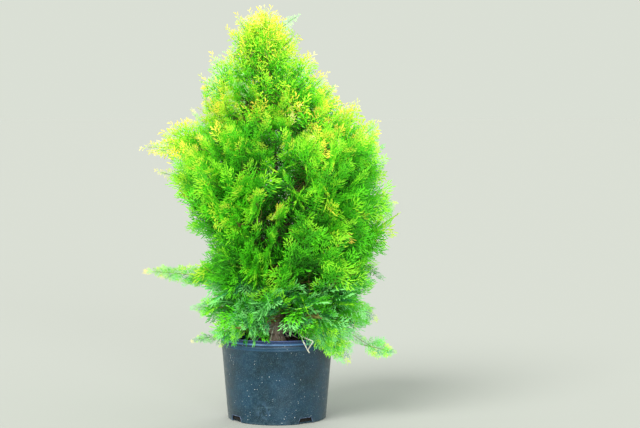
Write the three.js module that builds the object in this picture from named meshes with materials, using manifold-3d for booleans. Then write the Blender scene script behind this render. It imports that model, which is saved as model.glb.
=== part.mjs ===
// A potted thuja: a trunk with rising boughs, masses of flat golden-green sprays, and a black nursery pot.
// Millimetres, +Z up. The origin is the middle of the pot's underside. The viewer stands at -Y, with +X
// to the right. A bearing is an angle in degrees round the pot's axis, from the viewer towards +X.

import * as THREE from "three";
import { mergeVertices } from "three/addons/utils/BufferGeometryUtils.js";
import Module from "manifold-3d";

// Gap between pieces that touch on the real plant
const CLEARANCE = 0.3;

// How far a cutting shape runs past what it cuts
const OVERCUT = 2;

// Pot
const POT_HEIGHT = 226;
const POT_FOOT_RADIUS = 132;
const POT_BODY_RADIUS = 148.5;
const POT_RIM_RADIUS = 153;
const POT_WALL = 3;
const POT_FLOOR = 5;
const POT_SIDES = 32;
const POT_EDGE = 2;
const COLLAR_HEIGHT = 28;
const COLLAR_STEP = 2;
const LIP_HEIGHT = 13;
const NOTCH_BEARINGS = [-55, 35, 125, 215];
const NOTCH_WIDTH = 46;
const NOTCH_TOP_SHARE = 0.8;
const NOTCH_HEIGHT = 17;
const NOTCH_DEPTH = 10;

// Soil inside the pot
const SOIL_TOP = 203;
const SOIL_EDGE_TOP = 196;
const SOIL_FLAT_RADIUS = 34;

// Trunk
const TRUNK_FOOT = SOIL_TOP + CLEARANCE;
const TRUNK_TOP = 935;
const TRUNK_FOOT_RADIUS = 17;
const TRUNK_TIP_RADIUS = 3.5;
const TRUNK_FLARE = 9;
const TRUNK_FLARE_HEIGHT = 14;
const TRUNK_LEAN = -33;
const TRUNK_SWAY = -7;
const TRUNK_SWAY_PACE = 0.8;
const TRUNK_LEAN_POWER = 2.5;
const TRUNK_TAPER_POWER = 0.85;
const TRUNK_STEP_POWER = 1.6;
const TRUNK_STEPS = 14;
const TRUNK_SIDES = 8;

// Boughs
const BOUGH_STEPS = 4;
const BOUGH_SIDES = 6;
const BOUGH_ROOT_RADIUS = 7;
const BOUGH_TIP_RADIUS = 3.6;
const BOUGH_ROOT_SHARE = 0.5;
const BOUGH_BEND = 0.16;
const BOUGH_STAGGER = 14;

// Crown outline: at each height its middle, to the right of the pot's axis, and its reach from there
const CROWN = [
  { height: 190, middle: 10, reach: 200 },
  { height: 210, middle: 12, reach: 214 },
  { height: 280, middle: 34, reach: 250 },
  { height: 400, middle: 32, reach: 268 },
  { height: 520, middle: 26, reach: 290 },
  { height: 640, middle: 12, reach: 300 },
  { height: 730, middle: 0, reach: 304 },
  { height: 785, middle: 4, reach: 288 },
  { height: 830, middle: 8, reach: 222 },
  { height: 895, middle: -20, reach: 186 },
  { height: 960, middle: -36, reach: 140 },
  { height: 1050, middle: -32, reach: 92 },
  { height: 1111, middle: -28, reach: 14 },
];
const CROWN_SIDES = 18;
const CROWN_SEED = 7;

// The inside of the crown, where only the trunk and boughs are
const HOLLOW = [
  { height: 150, middle: 20, reach: 104 },
  { height: 400, middle: 24, reach: 112 },
  { height: 685, middle: 2, reach: 124 },
  { height: 770, middle: -6, reach: 80 },
  { height: 830, middle: -16, reach: 12 },
];

// A dark cleft in the front of the crown, an upright oval
const CLEFT_CENTRE = new THREE.Vector3(20, -290, 560);
const CLEFT_HALF_SIZE = new THREE.Vector3(32, 84, 92);

// The crown's underside, at the pot's axis, and its rise towards the viewer, where the pot's rim shows
const UNDERSIDE_HEIGHT = 214;
const UNDERSIDE_RISE = 0.1;

// Tiers of foliage masses: how many, the bearing of the first, where their hearts are, how far every
// other one stands above or below that, how steeply they rise, and the height at which their boughs leave
// the trunk. A tier with no such height has no boughs: its stems grow straight from the trunk. The skirt
// parts a little left of the front, where the foot of the trunk shows.
const TIERS = [
  { name: "skirt", count: 6, first: -38, height: 274, stagger: 14, radius: 172, rise: 5, leaves: 226 },
  { name: "low", count: 6, first: -68, height: 396, stagger: 14, radius: 178, rise: 25, leaves: 262 },
  { name: "middle", count: 5, first: -38, height: 530, stagger: 14, radius: 182, rise: 40, leaves: 345 },
  { name: "shoulder", count: 6, first: -90, height: 685, stagger: 14, radius: 180, rise: 50, leaves: 450 },
  { name: "upper", count: 4, first: -70, height: 850, stagger: 0, radius: 92, rise: 55 },
];
const LEADER_HEART_HEIGHT = 1012;

// Foliage: each mass has a dense core, with grooves between one core and the next, and sprays stand out
// of the cores to the crown's outline
const MASS_SEED = 107;
const MASS_SEED_STEP = 37;
const FOLIAGE_MARGIN = 1;
const CORE_MARGIN = 8;
const CORE_INSET = 52;
const CORE_TIP_REACH = 8;
const CORE_UNDERSIDE_INSET = 14;
const CORE_LUMPS = 0.16;
const STEM_INSET = 72;
const STEM_DROP = 0.9;
const STEM_LENGTH = 45;
const STEM_RADIUS = 3;
const TWIG_RADIUS = 2.2;
const TWIG_TIP_RADIUS = 1.1;
const TWIG_SIDES = 3;
const TWIG_OVERLAP = 0.12;
const TWIG_FORK_FIRST = 0.45;
const TWIG_FORK_SPREAD = 0.5;

// Sprays, on the side of the crown's outline, turned upwards from the direction of their mass's heart
const SPRAY_DIRECTIONS = 18;
const SPRAY_LIFT = 1.15;
const SPRAY_TWIST = 1.7;
const SPRAY_SUNK = 14;
const SPRAY_TIP_SHARE = 0.98;
const SPRAY_LENGTH = 115;
const SPRAY_LEAST = 44;
const SPRAY_WIDTH = 1.05;
const SPRAY_THICKNESS = 0.045;
const SPRAY_CURL = 0.12;
const SPRAY_TRIES = [1, 0.9, 0.8, 0.7];
const REACH_STEP = 4;
const REACH_MOST = 400;

// Toothed outline of a spray, as shares of its length: teeth fan out round a middle point
const MIDDLE_SHARE = 0.42;
const TOOTH_BEARINGS = [-80, -40, 0, 40, 80];
const TOOTH_REACHES = [0.36, 0.48, 0.58, 0.48, 0.36];
const NOTCH_SHARE = 0.52;

// Long shoots stand out of the crown's outline. Each has a spray at its tip and smaller ones beside it.
const LONG_SHOOT_TIPS = {
  apex: [-28, 0, 1111],
  topLeft: [-92, 0, 1074],
  topRight: [58, -10, 1066],
  leftWing: [-356, -20, 726],
  underLeftWing: [-322, 15, 668],
  lowLeftFrond: [-346, -10, 404],
  leftFrondByPot: [-228, -35, 306],
  leftRim: [-212, -20, 206],
  lowRightFrond: [310, -40, 178],
  rightRim: [180, -75, 152],
  rightShoulder: [216, -20, 840],
  backRight: [150, 290, 700],
  backLeft: [-120, 275, 430],
  front: [-60, -300, 610],
};
const SHOOT_SPRAY_LENGTH = 84;
const SHOOT_SPRAY_SHARE = 0.55;
const SHOOT_TWIG_OVERLAP = 0.4;
const SHOOT_SIDE_SPRAYS = [
  { place: 0.34, turn: 0.75 },
  { place: 0.56, turn: -0.75 },
];
const SIDE_SPRAY_SHARE = 0.85;
const SIDE_SPRAY_SUNK = 0.1;

const COLOURS = {
  pot: 0x1c2a33,
  soil: 0x33261c,
  bark: 0x6f5a49,
  skirt: 0x3c9a2c,
  low: 0x3fa21c,
  middle: 0x55b81a,
  shoulder: 0x86cc1e,
  upper: 0xa4d62a,
  leader: 0xcbe23c,
};

const UP = new THREE.Vector3(0, 0, 1);
const RIGHT = new THREE.Vector3(1, 0, 0);
const AWAY = new THREE.Vector3(0, 1, 0);
const STEEP = 0.9;
const TURN = 2 * Math.PI;
const GOLDEN_ANGLE = Math.PI * (3 - Math.sqrt(5));

const wasm = await Module();
wasm.setup();

// A closed geometry as a solid that can be joined and cut
function toSolid(geometry) {
  const plain = geometry.index ? geometry.toNonIndexed() : geometry;
  const bare = new THREE.BufferGeometry().setAttribute("position", plain.getAttribute("position"));
  const merged = mergeVertices(bare, 1e-3);
  return new wasm.Manifold(
    new wasm.Mesh({
      numProp: 3,
      vertProperties: merged.getAttribute("position").array,
      triVerts: new Uint32Array(merged.index.array),
    }),
  );
}

function toGeometry(solid) {
  const mesh = solid.getMesh();
  return new THREE.BufferGeometry()
    .setAttribute("position", new THREE.BufferAttribute(mesh.vertProperties, 3))
    .setIndex(new THREE.BufferAttribute(mesh.triVerts, 1));
}

// The largest body of a solid, with the hollows that fusing sealed filled and loose scraps dropped
function mainBody(solid) {
  const bodies = solid.decompose();
  return bodies.reduce((best, body) => (body.volume() > best.volume() ? body : best));
}

function indexed(points, triangles) {
  return new THREE.BufferGeometry().setFromPoints(points).setIndex(triangles);
}

// Repeatable random numbers from 0 to 1
function seeded(seed) {
  let state = seed;
  return () => {
    state = (state * 16807) % 2147483647;
    return state / 2147483647;
  };
}

function bearingVector(degrees) {
  const angle = THREE.MathUtils.degToRad(degrees);
  return new THREE.Vector3(Math.sin(angle), -Math.cos(angle), 0);
}

// The triangles of a closed sleeve through rings of points, with flat ends
function sleeve(ringCount, sides) {
  const triangles = [];
  for (let i = 0; i < ringCount - 1; i++) {
    for (let k = 0; k < sides; k++) {
      const a = i * sides + k;
      const b = i * sides + ((k + 1) % sides);
      triangles.push(a, b, b + sides, a, b + sides, a + sides);
    }
  }
  const top = (ringCount - 1) * sides;
  for (let k = 1; k < sides - 1; k++) {
    triangles.push(0, k + 1, k, top, top + k, top + k + 1);
  }
  return triangles;
}

// A tapering limb of flat faces along points, with flat ends. All its rings are turned the same way
// about sideways, a direction that the limb never takes. grow makes it that much fatter and longer.
function limb(points, radii, sides, sideways, grow = 0) {
  const rings = [];
  const last = points.length - 1;
  points.forEach((point, i) => {
    const before = points[Math.max(i - 1, 0)];
    const after = points[Math.min(i + 1, last)];
    const along = after.clone().sub(before).normalize();
    const v = new THREE.Vector3().crossVectors(along, sideways).normalize();
    const u = new THREE.Vector3().crossVectors(v, along);
    const end = i === 0 ? -grow : i === last ? grow : 0;
    const centre = point.clone().addScaledVector(along, end);
    const radius = radii[i] + grow / Math.cos(Math.PI / sides);
    for (let k = 0; k < sides; k++) {
      const angle = (k * TURN) / sides;
      const rim = centre.clone().addScaledVector(u, radius * Math.cos(angle));
      rings.push(rim.addScaledVector(v, radius * Math.sin(angle)));
    }
  });
  return toSolid(indexed(rings, sleeve(points.length, sides)));
}

// Pot

function latheSolid(profile) {
  const points = profile.map(([radius, height]) => new THREE.Vector2(radius, height));
  return toSolid(new THREE.LatheGeometry(points, POT_SIDES).rotateX(Math.PI / 2));
}

function potOuterRadius(height) {
  const share = height / (POT_HEIGHT - COLLAR_HEIGHT);
  return THREE.MathUtils.lerp(POT_FOOT_RADIUS, POT_BODY_RADIUS, share);
}

function potInnerRadius(height) {
  return potOuterRadius(height) - POT_WALL;
}

// One of the drainage notches in the foot, narrower at its top than at the ground
function drainageNotch(bearing) {
  const half = NOTCH_WIDTH / 2;
  const topHalf = NOTCH_TOP_SHARE * half;
  const outline = new THREE.Shape([
    new THREE.Vector2(-half, -OVERCUT),
    new THREE.Vector2(half, -OVERCUT),
    new THREE.Vector2(topHalf, NOTCH_HEIGHT),
    new THREE.Vector2(-topHalf, NOTCH_HEIGHT),
  ]);
  const block = new THREE.ExtrudeGeometry(outline, { depth: 2 * NOTCH_DEPTH, bevelEnabled: false });
  block.rotateX(Math.PI / 2);
  block.translate(0, NOTCH_DEPTH - POT_FOOT_RADIUS, 0);
  block.rotateZ(THREE.MathUtils.degToRad(bearing));
  return toSolid(block);
}

function makePot() {
  const collar = POT_HEIGHT - COLLAR_HEIGHT;
  const lip = POT_HEIGHT - LIP_HEIGHT;
  const collarRadius = POT_BODY_RADIUS + COLLAR_STEP;
  const mouthRadius = potInnerRadius(POT_HEIGHT);
  const shell = latheSolid([
    [0, 0],
    [POT_FOOT_RADIUS - POT_EDGE, 0],
    [POT_FOOT_RADIUS, POT_EDGE],
    [POT_BODY_RADIUS, collar],
    [collarRadius, collar],
    [collarRadius, lip],
    [POT_RIM_RADIUS, lip + POT_EDGE / 2],
    [POT_RIM_RADIUS, POT_HEIGHT - POT_EDGE],
    [POT_RIM_RADIUS - POT_EDGE, POT_HEIGHT],
    [mouthRadius, POT_HEIGHT],
    [potInnerRadius(POT_FLOOR), POT_FLOOR],
    [0, POT_FLOOR],
  ]);
  return shell.subtract(wasm.Manifold.union(NOTCH_BEARINGS.map(drainageNotch)));
}

function makeSoil() {
  const bottom = POT_FLOOR + CLEARANCE;
  const gap = 2 * CLEARANCE;
  return latheSolid([
    [0, bottom],
    [potInnerRadius(bottom) - gap, bottom],
    [potInnerRadius(SOIL_EDGE_TOP) - gap, SOIL_EDGE_TOP],
    [SOIL_FLAT_RADIUS, SOIL_TOP],
    [0, SOIL_TOP],
  ]);
}

// Trunk and boughs

function trunkShare(height) {
  return (height - TRUNK_FOOT) / (TRUNK_TOP - TRUNK_FOOT);
}

// The trunk leans to the left as it rises, and sways a little on its way
function trunkPoint(height) {
  const share = trunkShare(height);
  const x = TRUNK_LEAN * share ** TRUNK_LEAN_POWER + TRUNK_SWAY * Math.sin(TURN * share);
  const y = TRUNK_SWAY * Math.sin(TRUNK_SWAY_PACE * TURN * share);
  return new THREE.Vector3(x, y, height);
}

function trunkRadius(height) {
  const taper = trunkShare(height) ** TRUNK_TAPER_POWER;
  const flare = TRUNK_FLARE * Math.exp((TRUNK_FOOT - height) / TRUNK_FLARE_HEIGHT);
  return THREE.MathUtils.lerp(TRUNK_FOOT_RADIUS, TRUNK_TIP_RADIUS, taper) + flare;
}

// The steps are closer together near the foot, where the trunk flares. The foot is cut flat and level.
function makeTrunk(grow = 0) {
  const heights = Array.from(
    { length: TRUNK_STEPS + 1 },
    (_, i) => THREE.MathUtils.lerp(TRUNK_FOOT, TRUNK_TOP, (i / TRUNK_STEPS) ** TRUNK_STEP_POWER),
  );
  const points = heights.map(trunkPoint);
  points[0].z -= TRUNK_FLARE;
  const trunk = limb(points, heights.map(trunkRadius), TRUNK_SIDES, RIGHT, grow);
  return trunk.trimByPlane(UP.toArray(), TRUNK_FOOT);
}

function boughPath(mass) {
  const root = trunkPoint(mass.leaves);
  const bend = root.clone().lerp(mass.boughTip, 0.5);
  bend.addScaledVector(mass.outward, BOUGH_BEND * root.distanceTo(mass.boughTip));
  return new THREE.QuadraticBezierCurve3(root, bend, mass.boughTip).getPoints(BOUGH_STEPS);
}

function makeBough(mass, grow = 0) {
  const path = boughPath(mass);
  const rootRadius = Math.min(BOUGH_ROOT_RADIUS, BOUGH_ROOT_SHARE * trunkRadius(mass.leaves));
  const radii = path.map((_, i) =>
    THREE.MathUtils.lerp(rootRadius, BOUGH_TIP_RADIUS, i / BOUGH_STEPS),
  );
  const sideways = new THREE.Vector3().crossVectors(mass.outward, UP);
  return limb(path, radii, BOUGH_SIDES, sideways, grow);
}

// Masses of foliage

// The crown's middle and reach at a height, between the stations on either side
function crownAt(height) {
  const next = CROWN.findIndex((station) => station.height > height);
  if (next < 1) return null;
  const [low, high] = [CROWN[next - 1], CROWN[next]];
  const share = (height - low.height) / (high.height - low.height);
  return {
    middle: THREE.MathUtils.lerp(low.middle, high.middle, share),
    reach: THREE.MathUtils.lerp(low.reach, high.reach, share),
  };
}

function inCrown(point) {
  const ring = crownAt(point.z);
  if (ring === null || point.z < UNDERSIDE_HEIGHT - UNDERSIDE_RISE * point.y) return false;
  if (point.clone().sub(CLEFT_CENTRE).divide(CLEFT_HALF_SIZE).length() < 1) return false;
  return Math.hypot(point.x - ring.middle, point.y) <= ring.reach;
}

// A body through level rings, each round its own middle
function ringBody(rings, lumps = 0) {
  const random = seeded(CROWN_SEED);
  const points = rings.flatMap(({ height, middle, reach }) =>
    Array.from({ length: CROWN_SIDES }, (_, k) => {
      const outward = bearingVector((360 * k) / CROWN_SIDES);
      const lumpy = reach * (1 + lumps * (random() - 0.5));
      return outward.multiplyScalar(lumpy).add(new THREE.Vector3(middle, 0, height));
    }),
  );
  return toSolid(indexed(points, sleeve(rings.length, CROWN_SIDES)));
}

// The dense body of the crown, which the cores of the masses are cut from
function makeCrownBody() {
  const rings = CROWN.map(({ height, middle, reach }) => ({
    height: Math.min(height, CROWN[CROWN.length - 1].height - CORE_INSET),
    middle,
    reach: Math.max(reach - CORE_INSET, CORE_TIP_REACH),
  }));
  const tilted = new THREE.Vector3(0, UNDERSIDE_RISE, 1);
  const underside = (UNDERSIDE_HEIGHT + CORE_UNDERSIDE_INSET) / tilted.length();
  const cleft = new THREE.IcosahedronGeometry(1, 1).scale(...CLEFT_HALF_SIZE);
  cleft.translate(...CLEFT_CENTRE);
  return ringBody(rings, CORE_LUMPS)
    .trimByPlane(tilted.normalize().toArray(), underside)
    .subtract(ringBody(HOLLOW))
    .subtract(toSolid(cleft));
}

// The point in the middle of the crown at a height
function crownMiddle(height) {
  return new THREE.Vector3(crownAt(height).middle, 0, height);
}

// A mass's stem grows on from the tip of its bough, or straight from the trunk
function listMasses() {
  const masses = [];
  for (const tier of TIERS) {
    for (let i = 0; i < tier.count; i++) {
      const outward = bearingVector(tier.first + (360 * i) / tier.count);
      const height = tier.height + (i % 2 ? tier.stagger : -tier.stagger);
      const middle = tier.leaves ? crownMiddle(height) : trunkPoint(height);
      const heart = middle.addScaledVector(outward, tier.radius);
      const mass = { ...tier, name: `${tier.name}_${i + 1}`, colour: tier.name, outward, heart };
      if (tier.leaves) mass.leaves += BOUGH_STAGGER * (i % 3);
      masses.push(mass);
    }
  }
  const heart = crownMiddle(LEADER_HEART_HEIGHT);
  masses.push({ name: "leader", colour: "leader", outward: UP, heart, radius: 0, rise: 90 });
  masses.forEach((mass, i) => {
    mass.seed = MASS_SEED + MASS_SEED_STEP * i;
    const rise = THREE.MathUtils.degToRad(mass.rise);
    mass.axis = mass.outward.clone().multiplyScalar(Math.cos(rise));
    mass.axis.addScaledVector(UP, Math.sin(rise)).normalize();
    mass.boughTip = mass.heart.clone().addScaledVector(mass.axis, -STEM_INSET);
    const leaves = Math.min(mass.heart.z - STEM_DROP * mass.radius, TRUNK_TOP);
    mass.stemRoot = mass.leaves ? mass.boughTip : trunkPoint(leaves);
  });
  return masses;
}

// Each mass keeps to the points that are nearer its heart than any other, by a margin
function inSpace(point, mass, masses) {
  return masses.every((other) => {
    if (other === mass) return true;
    const between = other.heart.clone().sub(mass.heart);
    const half = between.length() / 2;
    const along = point.clone().sub(mass.heart).dot(between.normalize());
    return along < half - FOLIAGE_MARGIN;
  });
}

// How far a direction leads from a point before a test of the place fails
function reachOf(from, direction, holds) {
  const point = from.clone();
  let reach = 0;
  while (reach < REACH_MOST && holds(point)) {
    reach += REACH_STEP;
    point.addScaledVector(direction, REACH_STEP);
  }
  return reach - REACH_STEP;
}

// The dense middle of a mass: its own share of the crown's body
function makeCore(mass, masses, crownBody) {
  return masses.reduce((core, other) => {
    if (other === mass) return core;
    const between = mass.heart.clone().sub(other.heart);
    const half = between.length() / 2;
    between.normalize();
    return core.trimByPlane(between.toArray(), mass.heart.dot(between) - half + CORE_MARGIN);
  }, crownBody);
}

// A flat spray as a toothed blade: an outline that fans round a middle point, thickest at that point.
// Its teeth curl up out of the blade's plane, more towards the tips.
function sprayBlade(root, direction, across, length) {
  const normal = new THREE.Vector3().crossVectors(direction, across);
  const place = (bearing, reach) => {
    const angle = THREE.MathUtils.degToRad(bearing);
    const along = MIDDLE_SHARE + reach * Math.cos(angle);
    const side = SPRAY_WIDTH * reach * Math.sin(angle);
    const curl = SPRAY_CURL * (along * along + side * side);
    return root
      .clone()
      .addScaledVector(direction, length * along)
      .addScaledVector(across, length * side)
      .addScaledVector(normal, length * curl);
  };
  const outline = [];
  TOOTH_BEARINGS.forEach((bearing, i) => {
    if (i > 0) {
      const notch = (bearing + TOOTH_BEARINGS[i - 1]) / 2;
      const reach = NOTCH_SHARE * Math.min(TOOTH_REACHES[i], TOOTH_REACHES[i - 1]);
      outline.push(place(notch, reach));
    }
    outline.push(place(bearing, TOOTH_REACHES[i]));
  });
  outline.push(root.clone());
  const count = outline.length;
  const middle = place(0, 0);
  const half = (length * SPRAY_THICKNESS) / 2;
  outline.push(middle.clone().addScaledVector(normal, half));
  outline.push(middle.clone().addScaledVector(normal, -half));
  const triangles = [];
  for (let i = 0; i < count; i++) {
    const next = (i + 1) % count;
    triangles.push(count, i, next, count + 1, next, i);
  }
  return { points: outline, solid: toSolid(indexed(outline, triangles)) };
}

// A direction square to another: level, and then turned about it by a random angle
function squareTo(direction, random) {
  const across = new THREE.Vector3().crossVectors(UP, direction);
  if (across.lengthSq() < 1e-4) across.copy(RIGHT);
  return across.normalize().applyAxisAngle(direction, SPRAY_TWIST * (random() - 0.5));
}

function growTwig(from, to, radius, tipRadius) {
  const along = to.clone().sub(from).normalize();
  const sideways = Math.abs(along.z) < STEEP ? UP : RIGHT;
  return { points: [from, to], solid: limb([from, to], [radius, tipRadius], TWIG_SIDES, sideways) };
}

function makeMass(mass, masses, crownBody, keepOut) {
  const random = seeded(mass.seed);
  const stemRoot = mass.stemRoot;
  const stemEnd = mass.heart.clone().addScaledVector(mass.axis, STEM_LENGTH);
  const stem = growTwig(stemRoot, stemEnd, STEM_RADIUS, TWIG_RADIUS);
  const pieces = [makeCore(mass, masses, crownBody), stem.solid];
  const inOwnSpace = (point) => inSpace(point, mass, masses);

  // A piece fits if it keeps to the mass's space and clear of the limbs and the pot. A long shoot may
  // leave the crown's outline.
  const fits = (piece, isShoot) =>
    piece.points.every((point) => inOwnSpace(point) && (isShoot || inCrown(point))) &&
    piece.solid.intersect(keepOut).isEmpty();

  // Adds the largest of a few sizes of spray that fits
  const addSpray = (root, direction, length, isShoot) => {
    const across = squareTo(direction, random);
    for (const share of SPRAY_TRIES) {
      const blade = sprayBlade(root, direction, across, length * share);
      if (fits(blade, isShoot)) {
        pieces.push(blade.solid);
        return true;
      }
    }
    return false;
  };

  for (let i = 0; i < SPRAY_DIRECTIONS; i++) {
    const height = 1 - (2 * (i + 0.5)) / SPRAY_DIRECTIONS;
    const angle = i * GOLDEN_ANGLE + mass.seed;
    const level = Math.sqrt(1 - height * height);
    const direction = new THREE.Vector3(level * Math.cos(angle), level * Math.sin(angle), height);
    const reach = reachOf(mass.heart, direction, inCrown);
    if (reach > reachOf(mass.heart, direction, inOwnSpace)) continue;
    const depth = Math.max(reach - CORE_INSET - SPRAY_SUNK, 0);
    const root = mass.heart.clone().addScaledVector(direction, depth);
    const lifted = direction.addScaledVector(UP, SPRAY_LIFT).normalize();
    const length = Math.min(SPRAY_LENGTH, SPRAY_TIP_SHARE * reachOf(root, lifted, inCrown));
    if (length < SPRAY_LEAST) continue;
    const fork = stemRoot.clone().lerp(stemEnd, TWIG_FORK_FIRST + TWIG_FORK_SPREAD * random());
    const twigEnd = root.clone().addScaledVector(lifted, TWIG_OVERLAP * length);
    const twig = growTwig(fork, twigEnd, TWIG_RADIUS, TWIG_TIP_RADIUS);
    if (!fits(twig, false)) continue;
    if (addSpray(root, lifted, length, false)) pieces.push(twig.solid);
  }

  for (const place of Object.values(LONG_SHOOT_TIPS)) {
    const tip = new THREE.Vector3(...place);
    if (!inSpace(tip, mass, masses)) continue;
    const along = tip.clone().sub(stemEnd);
    const direction = along.clone().normalize();
    const length = Math.min(SHOOT_SPRAY_LENGTH, SHOOT_SPRAY_SHARE * along.length());
    const twigEnd = tip.clone().addScaledVector(direction, (SHOOT_TWIG_OVERLAP - 1) * length);
    pieces.push(growTwig(stemEnd, twigEnd, TWIG_RADIUS, TWIG_TIP_RADIUS).solid);
    addSpray(tip.clone().addScaledVector(direction, -length), direction, length, true);
    const aside = new THREE.Vector3().crossVectors(direction, AWAY).normalize();
    for (const side of SHOOT_SIDE_SPRAYS) {
      const turned = direction.clone().addScaledVector(aside, side.turn).normalize();
      const sideLength = SIDE_SPRAY_SHARE * length;
      const root = stemEnd.clone().addScaledVector(along, side.place);
      addSpray(root.addScaledVector(turned, -SIDE_SPRAY_SUNK * sideLength), turned, sideLength, true);
    }
  }
  return mainBody(wasm.Manifold.union(pieces).subtract(keepOut));
}

// Assembly

const plant = new THREE.Group();

function add(name, solid, colour, roughness) {
  const material = new THREE.MeshStandardMaterial({ color: colour, roughness, metalness: 0 });
  const mesh = new THREE.Mesh(toGeometry(solid), material);
  mesh.name = name;
  plant.add(mesh);
}

// A solid cylinder that no foliage enters, just wider and taller than the pot
function potZone() {
  const radius = POT_RIM_RADIUS + OVERCUT;
  const zone = new THREE.CylinderGeometry(radius, radius, POT_HEIGHT, POT_SIDES);
  return toSolid(zone.rotateX(Math.PI / 2).translate(0, 0, POT_HEIGHT / 2 + OVERCUT));
}

const masses = listMasses();
const boughed = masses.filter((mass) => mass.leaves);
const trunkSpace = makeTrunk(CLEARANCE);

add("pot", makePot(), COLOURS.pot, 0.5);
add("soil", makeSoil(), COLOURS.soil, 0.95);
add("trunk", makeTrunk(), COLOURS.bark, 0.9);
for (const mass of boughed) {
  add(`${mass.name}_bough`, makeBough(mass).subtract(trunkSpace), COLOURS.bark, 0.9);
}

const limbSpaces = boughed.map((mass) => makeBough(mass, CLEARANCE));
const keepOut = wasm.Manifold.union([trunkSpace, potZone(), ...limbSpaces]);
const crownBody = makeCrownBody();
for (const mass of masses) {
  const foliage = makeMass(mass, masses, crownBody, keepOut);
  add(`${mass.name}_foliage`, foliage, COLOURS[mass.colour], 0.8);
}

export default plant;
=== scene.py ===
"""The looks of a potted thuja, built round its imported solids.

The foliage grows by the rule of the part's source, carried to finer twigs and to sprays with
leaflets of their own. Lengths are in metres, with +Z up, the viewer at -Y and +X to the right.
A bearing is an angle in degrees round the pot's axis, from the viewer towards +X.
"""

import math

import bmesh
import bpy
import numpy as np
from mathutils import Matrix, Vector


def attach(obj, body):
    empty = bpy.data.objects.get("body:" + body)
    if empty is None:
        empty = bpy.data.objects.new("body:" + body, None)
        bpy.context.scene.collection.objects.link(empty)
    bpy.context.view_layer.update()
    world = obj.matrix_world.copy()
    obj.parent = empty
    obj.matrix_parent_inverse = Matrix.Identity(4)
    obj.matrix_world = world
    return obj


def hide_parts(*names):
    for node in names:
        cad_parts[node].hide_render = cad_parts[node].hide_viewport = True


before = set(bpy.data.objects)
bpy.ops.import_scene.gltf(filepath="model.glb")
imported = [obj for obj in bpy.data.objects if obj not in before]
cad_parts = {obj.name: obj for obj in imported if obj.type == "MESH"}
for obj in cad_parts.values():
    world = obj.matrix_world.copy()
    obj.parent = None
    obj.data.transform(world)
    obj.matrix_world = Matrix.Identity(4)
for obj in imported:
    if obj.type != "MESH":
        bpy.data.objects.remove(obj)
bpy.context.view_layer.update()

UP = np.array([0.0, 0.0, 1.0])
RIGHT = np.array([1.0, 0.0, 0.0])
TURN = 2 * math.pi
GOLDEN_ANGLE = math.pi * (3 - math.sqrt(5))
MOST_TRIANGLES = 190000

# What the random draws for each kind of piece start from
SEEDS = {"notch_beads": 3, "trunk": 5, "boughs": 6, "soil": 11, "shoots": 11, "foliage": 42}

# The photograph's view: how far in front of the pot's axis it was taken, how high, and where it looks
CAMERA_DISTANCE = 4.4
CAMERA_HEIGHT = 0.815
CAMERA_PITCH = 3.47
CAMERA_TURN = 1.51
LENS_MM = 92.4

# Pot
POT_HEIGHT = 0.226
POT_FOOT_RADIUS = 0.132
POT_BODY_RADIUS = 0.1485
POT_RIM_RADIUS = 0.153
POT_WALL = 0.003
POT_FLOOR = 0.005
POT_SEGMENTS = 192
POT_SHARP_ANGLE = 35
COLLAR_HEIGHT = 0.028
LIP_HEIGHT = 0.013
FLOOR_HOLE_RADIUS = 0.004
NOTCH_BEARINGS = (-55, 35, 125, 215)
NOTCH_WIDTH = 0.046
NOTCH_HEIGHT = 0.017
NOTCH_BEAD = 0.0009
NOTCH_BEAD_FOOT = 0.001
NOTCH_CUT_DEPTH = 0.01
NOTCH_CUT_BELOW = 0.004

# Soil: a mound that is level round the trunk and falls to the pot's wall, with grains on it
SOIL_TOP = 0.203
SOIL_EDGE_TOP = 0.196
SOIL_LEVEL_RADIUS = 0.034
SOIL_GAP = 0.0006
SOIL_BUMPS = 0.0011
SOIL_RINGS = 40
SOIL_SIDES = 120
SOIL_GRAINS = 900
GRAIN_SIZE = np.array([0.0034, 0.0022, 0.0013])

# Trunk
TRUNK_FOOT = 0.2033
TRUNK_TOP = 0.935
TRUNK_FOOT_RADIUS = 0.017
TRUNK_TIP_RADIUS = 0.0035
TRUNK_FLARE = 0.009
TRUNK_FLARE_HEIGHT = 0.014
TRUNK_LEAN = -0.033
TRUNK_SWAY = -0.007
TRUNK_SWAY_PACE = 0.8
TRUNK_LEAN_POWER = 2.5
TRUNK_TAPER_POWER = 0.85
TRUNK_RINGS = 190
TRUNK_RING_POWER = 1.4
TRUNK_SIDES = 40
TRUNK_RELIEF = 0.07

# Boughs
BOUGH_ROOT_RADIUS = 0.007
BOUGH_TIP_RADIUS = 0.0036
BOUGH_ROOT_SHARE = 0.5
BOUGH_BEND = 0.16
BOUGH_STAGGER = 0.014
BOUGH_RINGS = 26
BOUGH_SIDES = 14
BOUGH_RELIEF = 0.08

# Bark: how far apart the ends of its fibres are, and how rough they are
FIBRE_LENGTH = 0.014
FIBRE_OVERRUN = 0.03
FIBRE_ROUGHNESS = 0.3

# Crown outline: at each height its middle, to the right of the pot's axis, and its reach from there
CROWN = (
    (0.19, 0.01, 0.2),
    (0.21, 0.012, 0.214),
    (0.28, 0.034, 0.25),
    (0.4, 0.032, 0.268),
    (0.52, 0.026, 0.29),
    (0.64, 0.012, 0.3),
    (0.73, 0.0, 0.304),
    (0.785, 0.004, 0.288),
    (0.83, 0.008, 0.222),
    (0.895, -0.02, 0.186),
    (0.96, -0.036, 0.14),
    (1.05, -0.032, 0.092),
    (1.111, -0.028, 0.014),
)
UNDERSIDE_HEIGHT = 0.214
UNDERSIDE_RISE = 0.1
SPRAY_ROOT_FLOOR = 0.235
OUTLINE_SLACK = 0.01
OUTLINE_STEPS = 500

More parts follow.
